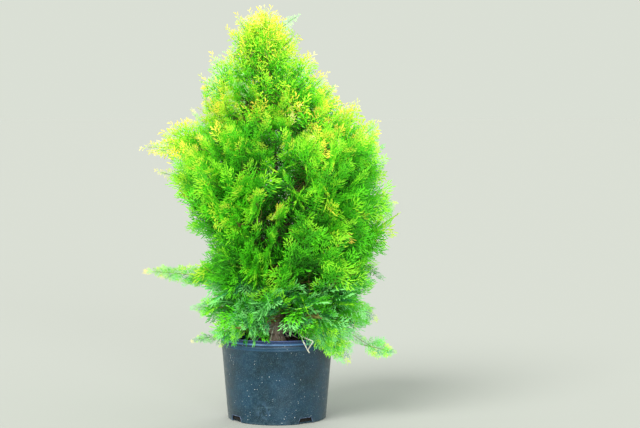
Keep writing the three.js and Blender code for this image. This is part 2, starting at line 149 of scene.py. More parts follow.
# Places where the crown is open, each with its middle and half its size: the dark cleft in its front,
# and the sky between its lobes and fronds
OPENINGS = {
    "cleft": ((0.0, -0.3, 0.62), (0.022, 0.064, 0.036)),
    "right_of_apex": ((0.085, 0.0, 1.055), (0.045, 0.2, 0.036)),
    "left_of_cone": ((-0.178, 0.0, 1.005), (0.058, 0.2, 0.04)),
    "right_of_cone": ((0.195, 0.0, 0.868), (0.032, 0.2, 0.028)),
    "right_notch": ((0.32, 0.0, 0.692), (0.048, 0.2, 0.02)),
    "under_left_wing": ((-0.288, 0.0, 0.69), (0.042, 0.2, 0.011)),
    "left_waist": ((-0.258, 0.0, 0.464), (0.086, 0.26, 0.06)),
    "left_of_skirt": ((-0.24, 0.0, 0.337), (0.086, 0.26, 0.028)),
    "left_of_rim": ((-0.23, 0.0, 0.24), (0.062, 0.24, 0.042)),
    "right_waist": ((0.335, 0.0, 0.414), (0.08, 0.26, 0.038)),
    "right_of_skirt": ((0.294, 0.0, 0.322), (0.084, 0.26, 0.04)),
    "right_of_rim": ((0.285, 0.0, 0.212), (0.094, 0.25, 0.048)),
}

# Low gaps in the front, over the rim and over the foot of the trunk: the middle and half the width of
# each in X, the height below which it is open at the pot's axis, and how fast that rises to the front
FRONT_GAPS = ((-0.021, 0.088, 0.223, 0.14), (0.001, 0.032, 0.246, 0.24))

# Tiers of foliage masses: the name, how many, the bearing of the first, how high their hearts are and how
# far every other one is above that and the rest below it, how far out the hearts are, how steeply the
# masses rise, and the height at which their boughs leave the trunk, if they have any
TIERS = (
    ("skirt", 6, -38, 0.274, 0.014, 0.172, 5, 0.226),
    ("low", 6, -68, 0.396, 0.014, 0.178, 25, 0.262),
    ("middle", 5, -38, 0.53, 0.014, 0.182, 40, 0.345),
    ("shoulder", 6, -90, 0.685, 0.014, 0.18, 50, 0.45),
    ("upper", 4, -70, 0.85, 0.0, 0.092, 55, None),
)
LEADER_HEART_HEIGHT = 1.012
STEM_INSET = 0.072
STEM_DROP = 0.9
STEM_LENGTH = 0.045
STEM_RADIUS = 0.003
TWIG_RADIUS = 0.0017
TWIG_TIP_RADIUS = 0.0006

# Radii of bare twigs at their root and at their end, by where they are
BARE_RADII = {"trunk": (0.0014, 0.0008), "fork": (0.0012, 0.0007), "rim": (0.0019, 0.0014),
              "foot": (0.0018, 0.0009)}

# Bare twigs low on the trunk: how many, how far round from the front, how far they reach, how high they
# leave the trunk, how far they rise at their bend and fall at their end, and how far along they fork
BARE_TWIGS = {"count": 22, "bearing": (-75, 75), "reach": (0.05, 0.12), "height": (0.225, 0.262),
              "rise": (0.004, 0.024), "fall": (-0.006, 0.012), "fork": 0.55}

# The bare twig that hangs over the rim, a little right of the front: its root, two forks and their meeting
FORKED_TWIG = (
    (0.045, -0.105, 0.262),
    (0.063, -0.16, 0.239),
    (0.094, -0.161, 0.226),
    (0.079, -0.17, 0.204),
    (0.066, -0.165, 0.23),
    (0.084, -0.174, 0.198),
)

# Dry twigs that stick out of the foot of the trunk, each from its root to its end
FOOT_TWIGS = (
    ((-0.012, -0.03, 0.212), (-0.07, -0.125, 0.234)),
    ((-0.01, -0.034, 0.214), (-0.046, -0.12, 0.231)),
    ((0.008, -0.03, 0.214), (0.034, -0.12, 0.237)),
    ((0.004, -0.034, 0.212), (0.012, -0.112, 0.232)),
)

# Forms of spray of length 1: how many branchlets each has, how far apart their leaflets are, how long and
# wide a leaflet is, and how long the branchlets are from the spray's foot to its end. Their triangles are
# of three kinds, and whole branchlets are tips in the spray's outer part. Short sprays high in the crown
# are thick fingers.
SPRAY_FORMS = {
    "fine": {"branchlets": 9, "spacing": 0.1, "leaf": 0.21, "width": 0.034,
             "lengths": (0.24, 0.44, 0.33, 0.1), "seeds": (21, 22, 23, 24)},
    "coarse": {"branchlets": 6, "spacing": 0.14, "leaf": 0.25, "width": 0.064,
               "lengths": (0.24, 0.44, 0.33, 0.1), "seeds": (31, 32)},
    "finger": {"branchlets": 4, "spacing": 0.3, "leaf": 0.26, "width": 0.078,
               "lengths": (0.34, 0.42, 0.36, 0.2), "seeds": (41, 42, 43)},
}
STALK, LEAF, TIP = 0, 1, 2
TIPS_FROM = 0.58
FINGER_SPRAY_LENGTH = 0.043
FINGER_HEIGHT = 0.6

# Layers of fronds, from the crown's outline inwards: how many, how many sprays each has, how far inside
# the outline their tips are, and the form of their sprays
LAYERS = (
    (380, 10, (-0.006, 0.018), "fine"),
    (250, 8, (0.018, 0.046), "fine"),
    (150, 7, (0.052, 0.085), "coarse"),
    (90, 6, (0.095, 0.14), "coarse"),
)
LAYER_TURN = 0.7
FROND_LENGTH = (0.075, 0.125)
FROND_RADIUS = 0.0012

# How far fronds and long shoots are turned about their stalks, in radians
FROND_TWIST = (-1.3, 1.3)
SHOOT_TWIST = (0.95, 1.35)

# How long sprays are along a frond and along a long shoot, as shares of the length usual there
TAPER_PLACES = (0.0, 0.4, 0.92, 1.0)
FROND_TAPER = (0.85, 1.0, 0.58, 0.86)
SHOOT_TAPER = (1.0, 1.0, 0.5, 0.7)

# How long sprays are at each height, and how strongly they turn upwards: hanging a little in the skirt,
# and steep at the top
SPRAY_LENGTH_HEIGHTS = (0.2, 0.6, 0.74, 0.84, 1.05)
SPRAY_LENGTHS = (0.092, 0.086, 0.074, 0.042, 0.035)
SPRAY_LIFT_HEIGHTS = (0.2, 0.28, 0.4, 0.6, 0.85, 1.05)
SPRAY_LIFTS = (-0.35, -0.05, 0.35, 0.75, 1.05, 1.6)

# How far short of its tip a frond's stalk ends, in lengths of its last spray, the least share of its
# sprays that a frond must keep to be grown, how far sprays curl and droop, and how deeply they are cupped
SPRAY_OVERHANG = 1.1
LEAST_GROWN = 0.5
SPRAY_CURL = (-0.08, 0.2)
SPRAY_DROOP = (0.0, 0.14)
SPRAY_CUP = 0.35

# How much fronds point away from their mass's heart and away from the trunk, the angles in degrees
# between sprays and their stalk and between branchlets and theirs, at its foot and at its tip, how far
# frond and spray lengths range round the usual, and how widely the rest is scattered
AIM_SHARES = (0.35, 0.65)
SPRAY_ANGLES = (44, 26)
BRANCHLET_ANGLES = (44, 22)
FROND_SPREAD = (0.85, 1.15)
SPRAY_SPREAD = (0.85, 1.12)
SCATTER = {"tip": 0.008, "lift": 0.2, "aim": 0.18, "frond_golden": 0.07,
           "spray_aim": 0.13, "spray_twist": 0.32, "spray_golden": 0.06}

# How far foliage stays out of the pot's rim and above it, and how far from the axis it goes out over the
# rim instead of up
RIM_CLEARANCE = 0.003
RIM_CLEARANCE_ABOVE = 0.002
RIM_PUSH_RADIUS = 0.125

# Long shoots that stand out of the crown's outline: where each leaves the crown and where it ends, how
# far it bows up, how many sprays it has and how long they are, and how golden it is
LONG_SHOOTS = {
    "apex": ((-0.03, 0.0, 0.99), (-0.03, 0.0, 1.108), 0.0, 22, 0.03, 1.0),
    "apex_middle": ((-0.04, 0.004, 0.99), (-0.046, 0.004, 1.106), 0.0, 20, 0.03, 1.0),
    "apex_front": ((-0.03, -0.02, 0.98), (-0.012, -0.02, 1.1), 0.0, 20, 0.03, 0.95),
    "apex_left": ((-0.05, -0.01, 0.98), (-0.074, -0.012, 1.094), 0.0, 20, 0.032, 0.9),
    "apex_right": ((-0.02, 0.01, 0.98), (0.004, 0.008, 1.094), 0.0, 20, 0.03, 0.95),
    "apex_back": ((-0.04, 0.03, 0.97), (-0.03, 0.045, 1.086), 0.0, 18, 0.034, 0.85),
    "top_left": ((-0.06, -0.01, 0.98), (-0.108, 0.0, 1.082), 0.01, 20, 0.032, 0.85),
    "top_left_low": ((-0.07, -0.01, 0.96), (-0.126, -0.01, 1.046), 0.01, 18, 0.032, 0.8),
    "top_right": ((0.004, -0.012, 1.036), (0.062, -0.012, 1.078), 0.006, 18, 0.016, 0.9),
    "cone_right_top": ((0.0, -0.02, 0.96), (0.034, -0.02, 1.03), 0.0, 16, 0.032, 0.9),
    "cone_right_upper": ((0.04, -0.03, 0.9), (0.104, -0.025, 0.978), 0.0, 18, 0.034, 0.9),
    "cone_right_middle": ((0.07, -0.03, 0.86), (0.138, -0.03, 0.926), 0.0, 18, 0.034, 0.9),
    "cone_right_low": ((0.09, -0.02, 0.83), (0.16, -0.025, 0.894), 0.0, 18, 0.034, 0.85),
    "left_lobe": ((-0.12, -0.04, 0.88), (-0.176, -0.03, 0.976), 0.0, 20, 0.034, 0.75),
    "left_lobe_inner": ((-0.11, -0.05, 0.88), (-0.15, -0.05, 0.97), 0.0, 18, 0.034, 0.7),
    "left_lobe_side": ((-0.13, -0.02, 0.85), (-0.2, -0.02, 0.906), 0.0, 18, 0.034, 0.75),
    "right_lobe_inner": ((0.165, -0.04, 0.75), (0.186, -0.03, 0.85), 0.0, 20, 0.034, 0.95),
    "right_lobe_outer": ((0.185, -0.02, 0.75), (0.214, -0.02, 0.858), 0.0, 20, 0.034, 0.95),
    "right_lobe_side": ((0.2, -0.03, 0.73), (0.276, -0.03, 0.8), 0.0, 20, 0.036, 0.9),
    "right_middle": ((0.22, -0.03, 0.55), (0.32, -0.03, 0.586), 0.0, 18, 0.05, 0.5),
    "left_wing": ((-0.19, -0.03, 0.718), (-0.364, -0.02, 0.728), 0.006, 36, 0.03, 0.95),
    "left_wing_front": ((-0.19, -0.06, 0.722), (-0.314, -0.055, 0.742), 0.006, 28, 0.03, 0.9),
    "left_wing_low": ((-0.2, -0.045, 0.722), (-0.34, -0.045, 0.717), 0.002, 28, 0.024, 0.95),
    "left_wing_top": ((-0.19, -0.04, 0.72), (-0.304, -0.04, 0.77), 0.008, 24, 0.038, 0.85),
    "left_wing_spur": ((-0.2, -0.05, 0.74), (-0.286, -0.05, 0.788), 0.004, 20, 0.034, 0.9),
    "under_left_wing": ((-0.21, 0.01, 0.64), (-0.328, 0.015, 0.666), -0.006, 26, 0.022, 0.95),
    "low_left_frond": ((-0.15, -0.02, 0.378), (-0.356, -0.01, 0.397), 0.003, 36, 0.038, 0.62),
    "low_left_under": ((-0.15, -0.03, 0.386), (-0.254, -0.03, 0.366), 0.006, 24, 0.032, 0.4),
    "left_frond_by_pot": ((-0.12, -0.04, 0.3), (-0.23, -0.035, 0.3), 0.004, 22, 0.032, 0.5),
    "left_rim": ((-0.13, -0.045, 0.228), (-0.229, -0.02, 0.211), 0.002, 20, 0.026, 0.65),
    "right_frond": ((0.16, -0.04, 0.305), (0.268, -0.03, 0.268), 0.01, 16, 0.046, 0.55),
    "low_right_stalk": ((0.17, -0.06, 0.252), (0.262, -0.055, 0.192), -0.004, 20, 0.02, 0.3),
    "low_right_tuft": ((0.222, -0.056, 0.204), (0.322, -0.055, 0.178), 0.002, 22, 0.036, 0.6),
    "by_forked_twig": ((0.08, -0.11, 0.275), (0.104, -0.16, 0.21), 0.025, 12, 0.044, 0.35),
    "over_rim_inner": ((0.1, -0.105, 0.28), (0.136, -0.13, 0.186), 0.03, 12, 0.05, 0.4),
    "over_rim_middle": ((0.118, -0.1, 0.28), (0.16, -0.112, 0.168), 0.03, 16, 0.052, 0.45),
    "over_rim_outer": ((0.128, -0.08, 0.275), (0.19, -0.085, 0.158), 0.03, 16, 0.052, 0.6),
    "over_rim_low": ((0.11, -0.095, 0.26), (0.178, -0.1, 0.16), 0.024, 14, 0.048, 0.45),
    "over_left_rim": ((-0.115, -0.105, 0.27), (-0.148, -0.114, 0.206), 0.02, 14, 0.04, 0.55),
    "over_left_lip": ((-0.08, -0.12, 0.275), (-0.112, -0.15, 0.214), 0.022, 12, 0.042, 0.4),
    "left_of_stem": ((-0.045, -0.11, 0.285), (-0.066, -0.15, 0.238), 0.02, 12, 0.04, 0.35),
    "back_right": ((0.1, 0.19, 0.66), (0.15, 0.29, 0.7), 0.0, 16, 0.05, 0.6),
    "back_left": ((-0.07, 0.17, 0.42), (-0.12, 0.275, 0.43), 0.0, 16, 0.05, 0.4),
    "front": ((-0.04, -0.2, 0.57), (-0.06, -0.3, 0.61), 0.0, 16, 0.05, 0.5),
    "front_low": ((-0.02, -0.13, 0.44), (-0.012, -0.25, 0.505), 0.0, 16, 0.06, 0.35),
    "front_low_left": ((-0.04, -0.13, 0.4), (-0.056, -0.26, 0.45), 0.0, 16, 0.06, 0.35),
    "below_cleft": ((0.01, -0.17, 0.52), (0.0, -0.285, 0.59), 0.0, 14, 0.05, 0.75),
}

# Studio: a pale sky, and far lamps aimed at the pot's foot, each with its place, strength, softness in
# degrees and colour
WORLD_COLOUR = (0.95, 1.0, 0.9, 1)
WORLD_STRENGTH = 0.74
LAMPS = {
    "key": ((-1.7, -2.6, 3.0), 2.9, 34, (1, 0.97, 0.92)),
    "fill": ((1.0, -4.0, 0.72), 1.5, 26, (0.95, 0.98, 1)),
    "back_light": ((0.8, 2.8, 2.8), 1.1, 30, (1, 0.98, 0.95)),
}
FLOOR_WIDTH = 600

# Colours from 0 to 255, of which those of the leaflets have a slot each. The first seven go
# from the shade inside the crown to the golden tips.
BLACK = (0, 0, 0)
FLOOR_COLOUR = (174, 177, 174)
COLOURS = (
    ("shade_green", (28, 88, 14), "low_foliage"),
    ("deep_green", (54, 148, 22), "low_foliage"),
    ("mid_green", (80, 196, 28), "middle_foliage"),
    ("bright_green", (112, 230, 36), "middle_foliage"),
    ("lime", (166, 248, 50), "shoulder_foliage"),
    ("yellow_green", (216, 252, 66), "upper_foliage"),
    ("gold", (254, 240, 82), "leader_foliage"),
    ("bluish_green", (66, 170, 92), "skirt_foliage"),
    ("soft_green", (140, 232, 130), "skirt_foliage"),
    ("pale_green", (204, 248, 176), "upper_foliage"),
    ("pale_gold", (254, 250, 156), "leader_foliage"),
    ("bronze", (232, 210, 84), "shoulder_foliage"),
)
COLOUR_INDEX = {name: index for index, (name, _, _) in enumerate(COLOURS)}

# How golden the sprays are at each height, how much less so at each depth inside the crown's outline,
# places that are more golden than the rest, each with its reach and how much more, and pale places with
# their reach and the share of pale sprays
GOLDEN_HEIGHTS = (0.16, 0.35, 0.55, 0.7, 0.8, 0.87, 0.97, 1.03, 1.1)
GOLDEN_SHARES = (0.4, 0.42, 0.45, 0.5, 0.6, 0.6, 0.72, 0.88, 1.00)
SHADE_DEPTHS = (0.0, 0.03, 0.06, 0.12)
SHADES = (0.0, 0.03, 0.2, 0.48)
GOLDEN_PLACES = (
    ((-0.21, -0.12, 0.8), 0.12, 0.28),
    ((0.1, -0.21, 0.805), 0.085, 0.28),
    ((-0.08, -0.17, 0.845), 0.06, 0.2),
    ((0.01, -0.18, 0.84), 0.06, 0.26),
    ((0.2, -0.1, 0.83), 0.1, 0.36),
    ((-0.33, 0.0, 0.7), 0.1, 0.25),
    ((0.2, 0.16, 0.78), 0.11, 0.26),
    ((-0.1, 0.2, 0.79), 0.12, 0.26),
    ((0.005, -0.29, 0.6), 0.035, 0.28),
    ((0.035, -0.29, 0.5), 0.04, 0.26),
    ((0.155, -0.25, 0.61), 0.035, 0.28),
    ((-0.055, -0.29, 0.73), 0.035, 0.28),
)
PALE_PLACES = (
    ((-0.165, -0.06, 0.935), 0.065, 0.55),
    ((-0.105, -0.15, 0.88), 0.05, 0.45),
)
LOW_FOLIAGE_TOP = 0.38
SHOOT_FOOT_GOLDEN = 0.45

# Share of the sprays whose tips are two colours lighter than their leaflets instead of one, shares of
# those that take one of the other colours, and how near the end of the pale sprig they are part of it
LONG_STEP_SHARE = 0.5
PALE_GOLD_SHARE = 0.1
PALE_GOLD_SHOOT_SHARE = 0.5
BLUISH_SHARE = 0.45
SOFT_SHARE = 0.52
BRONZE_SHARE = 0.002
PALE_SPRIG_REACH = 0.045

# Materials that are mottled all over: their plain colour and roughness, the scale of their mottling, its
# detail and colours, and the strength and depth of its relief
MOTTLED = {
    "twig": {
        "colour": (150, 112, 74), "roughness": 0.75, "scale": 90, "detail": 3, "relief": (0.4, 0.0008),
        "stops": ((0.35, (108, 90, 50)), (0.52, (140, 126, 66)), (0.68, (132, 152, 66))),
    },
    "stalk": {
        "colour": (104, 158, 48), "roughness": 0.6, "scale": 90, "detail": 3, "relief": (0.4, 0.0008),
        "stops": ((0.34, (128, 112, 58)), (0.46, (96, 150, 44)), (0.68, (140, 190, 60))),
    },
    "bare_twig": {
        "colour": (206, 204, 186), "roughness": 0.85, "scale": 120, "detail": 3, "relief": (0.4, 0.0008),
        "stops": ((0.35, (176, 172, 156)), (0.68, (232, 236, 216))),
    },
    # The notches' edges: pale dust and a painted highlight
    "pot_edge_dust_and_highlight": {
        "colour": (112, 124, 164), "roughness": 0.5, "scale": 160, "detail": 4, "relief": (0.3, 0.0005),
        "stops": ((0.38, (20, 48, 70)), (0.62, (104, 122, 156))),
    },
}

# Colours of the bands round the pot's rim, by height: dusty blue with painted highlights on its rolls and
# painted shadow lines under them, and the middle of the scuff on its front
RIM_HIGHLIGHT_SHADOW_AND_DUST_BANDS = (
    (0.208, (22, 68, 98)),
    (0.2092, (8, 30, 48)),
    (0.2122, (8, 30, 48)),
    (0.2134, (84, 130, 182)),
    (0.2176, (84, 130, 182)),
    (0.2188, (14, 42, 88)),
    (0.2232, (14, 42, 88)),
    (0.2246, (88, 108, 176)),
)
SCUFF_PLACE = (-0.036, -0.133, 0.036)


def bearing_vector(degrees):
    angle = np.radians(degrees)
    return np.stack([np.sin(angle), -np.cos(angle), np.zeros_like(angle)], axis=-1)


def from_axis(radius, angle, height):
    """Points at a radius and an angle from +X round the pot's axis, and at a height."""
    return np.stack(np.broadcast_arrays(radius * np.cos(angle), radius * np.sin(angle), height), axis=-1)


def unit(vectors):
    return vectors / np.linalg.norm(vectors, axis=-1, keepdims=True)


def smooth_step(low, high, value):
    share = np.clip((value - low) / (high - low), 0, 1)
    return share * share * (3 - 2 * share)


def link_object(name, data):
    """A new object in the scene."""
    made = bpy.data.objects.new(name, data)
    bpy.context.scene.collection.objects.link(made)
    return made


# Camera, light and floor


def make_camera():
    camera = link_object("camera", bpy.data.cameras.new("camera"))
    camera.data.lens = LENS_MM
    camera.location = (0, -CAMERA_DISTANCE, CAMERA_HEIGHT)
    camera.rotation_euler = (math.radians(90 - CAMERA_PITCH), 0, math.radians(-CAMERA_TURN))
    bpy.context.scene.camera = camera


def make_lamp(name, place, strength, softness, colour):
    light = bpy.data.lights.new(name, "SUN")
    light.energy = strength
    light.angle = math.radians(softness)
    light.color = colour
    lamp = link_object(name, light)
    lamp.location = place
    lamp.rotation_euler = (-Vector(place)).to_track_quat("-Z", "Y").to_euler()


def make_studio():
    """A pale floor that runs on to the horizon, a soft key from the upper left, a fill and a back light."""
    world = bpy.data.worlds.new("studio")
    world.use_nodes = True
    background = world.node_tree.nodes["Background"]
    background.inputs["Color"].default_value = WORLD_COLOUR
    background.inputs["Strength"].default_value = WORLD_STRENGTH
    bpy.context.scene.world = world
    bpy.context.scene.view_settings.view_transform = "Standard"
    for name, values in LAMPS.items():
        make_lamp(name, *values)
    half = FLOOR_WIDTH / 2
    corners = [(-half, -half, 0), (half, -half, 0), (half, half, 0), (-half, half, 0)]
    surface = Surface("floor", FLOOR_COLOUR, roughness=0.9, specular=0)
    mesh_object("floor", corners, [(0, 1, 2), (0, 2, 3)], surface.material)


# Materials


def from_srgb(colour):
    """A colour given from 0 to 255 as the linear values that a shader takes."""
    shares = np.array(colour) / 255
    linear = np.where(shares <= 0.04045, shares / 12.92, ((shares + 0.055) / 1.055) ** 2.4)
    return (*linear.tolist(), 1.0)


class Surface:
    """A material, with short names for building its nodes."""

    def __init__(self, name, colour, roughness, specular=0.5):
        self.material = bpy.data.materials.new(name)
        self.material.use_nodes = True
        self.nodes = self.material.node_tree.nodes
        self.shader = self.nodes["Principled BSDF"]
        self.place = self.nodes.new("ShaderNodeTexCoord").outputs["Object"]
        self.put(from_srgb(colour), self.shader.inputs["Base Color"])
        self.put(roughness, self.shader.inputs["Roughness"])
        self.put(specular, self.shader.inputs["Specular IOR Level"])

    def put(self, value, socket):
        """Links another node's output to a socket, or sets the socket to a number, vector or colour."""
        if isinstance(value, bpy.types.NodeSocket):
            self.material.node_tree.links.new(value, socket)
        else:
            socket.default_value = value

    def add(self, kind, **inputs):
        node = self.nodes.new(f"ShaderNode{kind}")
        for name, value in inputs.items():
            self.put(value, node.inputs[name])
        return node

    def height(self):
        return self.add("SeparateXYZ", Vector=self.place).outputs["Z"]

    def distance(self, centre):
        node = self.add("VectorMath", Vector=self.place)
        node.operation = "DISTANCE"
        node.inputs[1].default_value = centre
        return node.outputs["Value"]

    def noise(self, scale, detail, stretch=(1, 1, 1)):
        place = self.add("Mapping", Vector=self.place, Scale=stretch).outputs["Vector"]
        return self.add("TexNoise", Vector=place, Scale=scale, Detail=detail, Roughness=0.55).outputs["Fac"]

    def specks(self, scale):
        return self.add("TexVoronoi", Vector=self.place, Scale=scale).outputs["Distance"]

    def ramp(self, value, *stops):
        """Colours or shares at places from 0 to 1, given as pairs of place and colour or number."""
        node = self.add("ValToRGB", Fac=value)
        elements = node.color_ramp.elements
        while len(elements) < len(stops):
            elements.new(0.5)
        for element, (place, colour) in zip(elements, stops):
            element.position = place
            element.color = from_srgb(colour) if isinstance(colour, tuple) else (colour, colour, colour, 1)
        return node.outputs["Color"]

    def mix(self, share, first, second):
        """The first colour where the share is 0, and the second where it is 1."""
        node = self.add("Mix")
        node.data_type = "RGBA"
        self.put(share, node.inputs["Factor"])
        sockets = [socket for socket in node.inputs if socket.type == "RGBA"]
        for value, socket in zip((first, second), sockets):
            self.put(from_srgb(value) if isinstance(value, tuple) else value, socket)
        return next(socket for socket in node.outputs if socket.type == "RGBA")

    def paint(self, colour):
        self.put(colour, self.shader.inputs["Base Color"])

    def bump(self, height, strength, distance):
        node = self.add("Bump", Height=height, Strength=strength, Distance=distance)
        self.put(node.outputs["Normal"], self.shader.inputs["Normal"])


def mottled_material(name):
    look = MOTTLED[name]
    surface = Surface(name, look["colour"], look["roughness"])
    mottle = surface.noise(look["scale"], look["detail"])
    surface.paint(surface.ramp(mottle, *look["stops"]))
    surface.bump(mottle, *look["relief"])
    return surface.material


def leaf_material(name, colour):
    """Plain colour, with the fine relief and broken gloss of overlapping scale leaves."""
    surface = Surface(name, colour, roughness=0.5, specular=0.35)
    scales = surface.specks(scale=700)
    surface.bump(scales, strength=0.35, distance=0.0006)
    surface.put(surface.ramp(scales, (0, 0.42), (1, 0.68)), surface.shader.inputs["Roughness"])
    return surface.material


def bark_material():
    """Grey-brown, in long fibres paler on their ridges, painted pale as light on the trunk's foot and with
    painted shade darker up in the crown.
    """
    surface = Surface("bark", (150, 128, 110), roughness=0.9)
    fibres = surface.noise(scale=260, detail=5, stretch=(1, 1, 0.09))
    # The fibres' colours are paler than the bark's own: painted light on the trunk's foot, which stands in
    # the crown's shade
    colour = surface.ramp(fibres, (0.30, (128, 108, 94)), (0.50, (190, 170, 150)), (0.72, (232, 222, 208)))
    patches = surface.ramp(surface.noise(scale=34, detail=3), (0.45, 0.0), (0.7, 0.4))
    # Painted shade: darker upwards from a little above the rim, inside the crown
    crown_shade = surface.ramp(surface.height(), (0.26, 0.0), (0.36, 0.85))
    patched = surface.mix(patches, colour, (150, 116, 90))
    surface.paint(surface.mix(crown_shade, patched, (66, 56, 34)))
    surface.bump(fibres, strength=0.8, distance=0.002)
    return surface.material


def soil_material():
    """Loose brown grains, with painted shade that makes them nearly black deep in the pot."""
    surface = Surface("soil", (54, 42, 32), roughness=0.95)
    grains = surface.noise(scale=240, detail=6)
    colour = surface.ramp(grains, (0.35, (44, 34, 26)), (0.55, (96, 76, 58)), (0.75, (150, 128, 100)))
    # Painted shade: nearly black low down in the pot
    painted_deep_shade = surface.ramp(surface.height(), (0.10, 1.0), (0.18, 0.0))
    surface.paint(surface.mix(painted_deep_shade, colour, (16, 15, 14)))
    surface.bump(grains, strength=0.9, distance=0.003)
    return surface.material


def pot_material():
    """Blue-black moulded plastic, banded on its rim with painted highlights and painted shadow lines, with
    dust, pale splashes, scuffs and a dirty foot.
    """
    surface = Surface("pot_plastic", (22, 52, 70), roughness=0.45)
    surface.shader.inputs["Sheen Weight"].default_value = 0.12
    surface.shader.inputs["Sheen Roughness"].default_value = 0.45
    surface.shader.inputs["Sheen Tint"].default_value = from_srgb((214, 214, 196))

    height = surface.height()
    cloudy = surface.noise(scale=14, detail=5)
    grime = surface.noise(scale=70, detail=6)
    grit = surface.noise(scale=380, detail=3)
    scratches = surface.noise(scale=26, detail=3, stretch=(0.35, 0.35, 1.6))
    near_foot = surface.ramp(height, (0.0, 1.0), (0.05, 0.0))
    foot_dirt = surface.mix(surface.noise(scale=75, detail=5), BLACK, near_foot)
    by_scuff = surface.ramp(surface.distance(SCUFF_PLACE), (0.004, 1.0), (0.034, 0.0))
    streaky = surface.noise(scale=110, detail=5, stretch=(1, 1, 0.6))
    streaks = surface.ramp(streaky, (0.46, 0.0), (0.7, 0.5))
    scattered = surface.ramp(surface.noise(scale=30, detail=2), (0.52, 0.0), (0.62, 1.0))
    drops = surface.ramp(surface.specks(scale=130), (0.09, 1.0), (0.15, 0.0))
    layers = {
        "grime": (surface.ramp(grime, (0.52, 0.0), (0.80, 0.30)), (60, 100, 116)),
        "grit": (surface.ramp(grit, (0.48, 0.0), (0.72, 0.5)), (52, 90, 106)),
        # painted highlights and painted shadow lines in bands round the rim, over some dust
        "rim": (surface.ramp(height, (0.1975, 0.0), (0.1990, 0.8)), surface.ramp(height, *RIM_HIGHLIGHT_SHADOW_AND_DUST_BANDS)),
        "mud": (surface.ramp(foot_dirt, (0.38, 0.0), (0.75, 0.70)), (84, 104, 116)),
        "scratches": (surface.ramp(scratches, (0.66, 0.0), (0.74, 0.35)), (96, 128, 144)),
        "scuff": (surface.mix(streaks, BLACK, by_scuff), (84, 120, 152)),
        "dust": (surface.ramp(surface.specks(scale=300), (0.10, 0.6), (0.24, 0.0)), (104, 134, 146)),
        "splashes": (surface.mix(scattered, BLACK, drops), (210, 220, 220)),
    }
    colour = surface.ramp(cloudy, (0.35, (0, 36, 50)), (0.55, (2, 47, 68)), (0.75, (8, 58, 84)))
    for share, shade in layers.values():
        colour = surface.mix(share, colour, shade)
    surface.paint(colour)
    surface.put(surface.ramp(grime, (0.35, 0.34), (0.75, 0.62)), surface.shader.inputs["Roughness"])
    surface.bump(surface.noise(scale=420, detail=3), strength=0.12, distance=0.0006)
    return surface.material


# Meshes


def mesh_object(name, points, triangles, material):
    mesh = bpy.data.meshes.new(name)
    mesh.vertices.add(len(points))
    mesh.vertices.foreach_set("co", np.asarray(points, np.float32).ravel())
    mesh.loops.add(3 * len(triangles))
    mesh.loops.foreach_set("vertex_index", np.asarray(triangles, np.int32).ravel())
    mesh.polygons.add(len(triangles))
    mesh.polygons.foreach_set("loop_start", np.arange(0, 3 * len(triangles), 3, dtype=np.int32))
    mesh.update(calc_edges=True)
    mesh.polygons.foreach_set("use_smooth", np.zeros(len(triangles), bool))
    mesh.materials.append(material)
    return link_object(name, mesh)


def solid_object(name, points, faces):
    """An object of flat faces that close, all turned outwards."""
    mesh = bpy.data.meshes.new(name)
    mesh.from_pydata(points, [], faces)
    shape = bmesh.new()
    shape.from_mesh(mesh)
    bmesh.ops.recalc_face_normals(shape, faces=shape.faces)
    shape.to_mesh(mesh)
    shape.free()
    return link_object(name, mesh)


def place_piece(piece, slot, *nodes):
    """Puts a piece on the one body, instead of the solids that it replaces; its slot is not used."""
    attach(piece, "root")
    if nodes:
        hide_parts(*nodes)


def join_parts(parts):
    """Several pairs of points and triangles as one pair."""
    points, triangles, start = [], [], 0
    for part_points, part_triangles in parts:
        points.append(part_points)
        triangles.append(part_triangles + start)
        start += len(part_points)
    return np.concatenate(points), np.concatenate(triangles)


def sleeve(ring_count, sides):
    """The triangles of a closed sleeve through rings of points, with flat ends."""
    ring, side = np.meshgrid(np.arange(ring_count - 1), np.arange(sides), indexing="ij")
    a = (ring * sides + side).ravel()
    b = (ring * sides + (side + 1) % sides).ravel()
    walls = [np.stack([a, b, b + sides], 1), np.stack([a, b + sides, a + sides], 1)]
    fan = np.arange(1, sides - 1)
    top = (ring_count - 1) * sides
    foot = np.stack([np.zeros_like(fan), fan + 1, fan], 1)
    tip = np.stack([np.full_like(fan, top), top + fan, top + fan + 1], 1)
    return np.concatenate([*walls, foot, tip])


def lathe(profile, sides):
    """The points and faces of a closed profile of radius and height, turned about the pot's axis."""
    radius, height = np.array(profile).T
    points = from_axis(radius[:, None], np.arange(sides) * TURN / sides, height[:, None])
    faces = []
    for low in range(len(profile)):
        high = (low + 1) % len(profile)
        for k in range(sides):
            after = (k + 1) % sides
            faces.append((low * sides + k, low * sides + after, high * sides + after, high * sides + k))
    return points.reshape(-1, 3), faces


def arc(centre, radius, first, last, steps):
    """Points on an arc in the plane of radius and height, between two angles in degrees."""
    angles = np.radians(np.linspace(first, last, steps))
    return [(centre[0] + radius * math.cos(a), centre[1] + radius * math.sin(a)) for a in angles]


# Pot and soil


def pot_radius(height):
    share = height / (POT_HEIGHT - COLLAR_HEIGHT)
    return POT_FOOT_RADIUS + (POT_BODY_RADIUS - POT_FOOT_RADIUS) * share


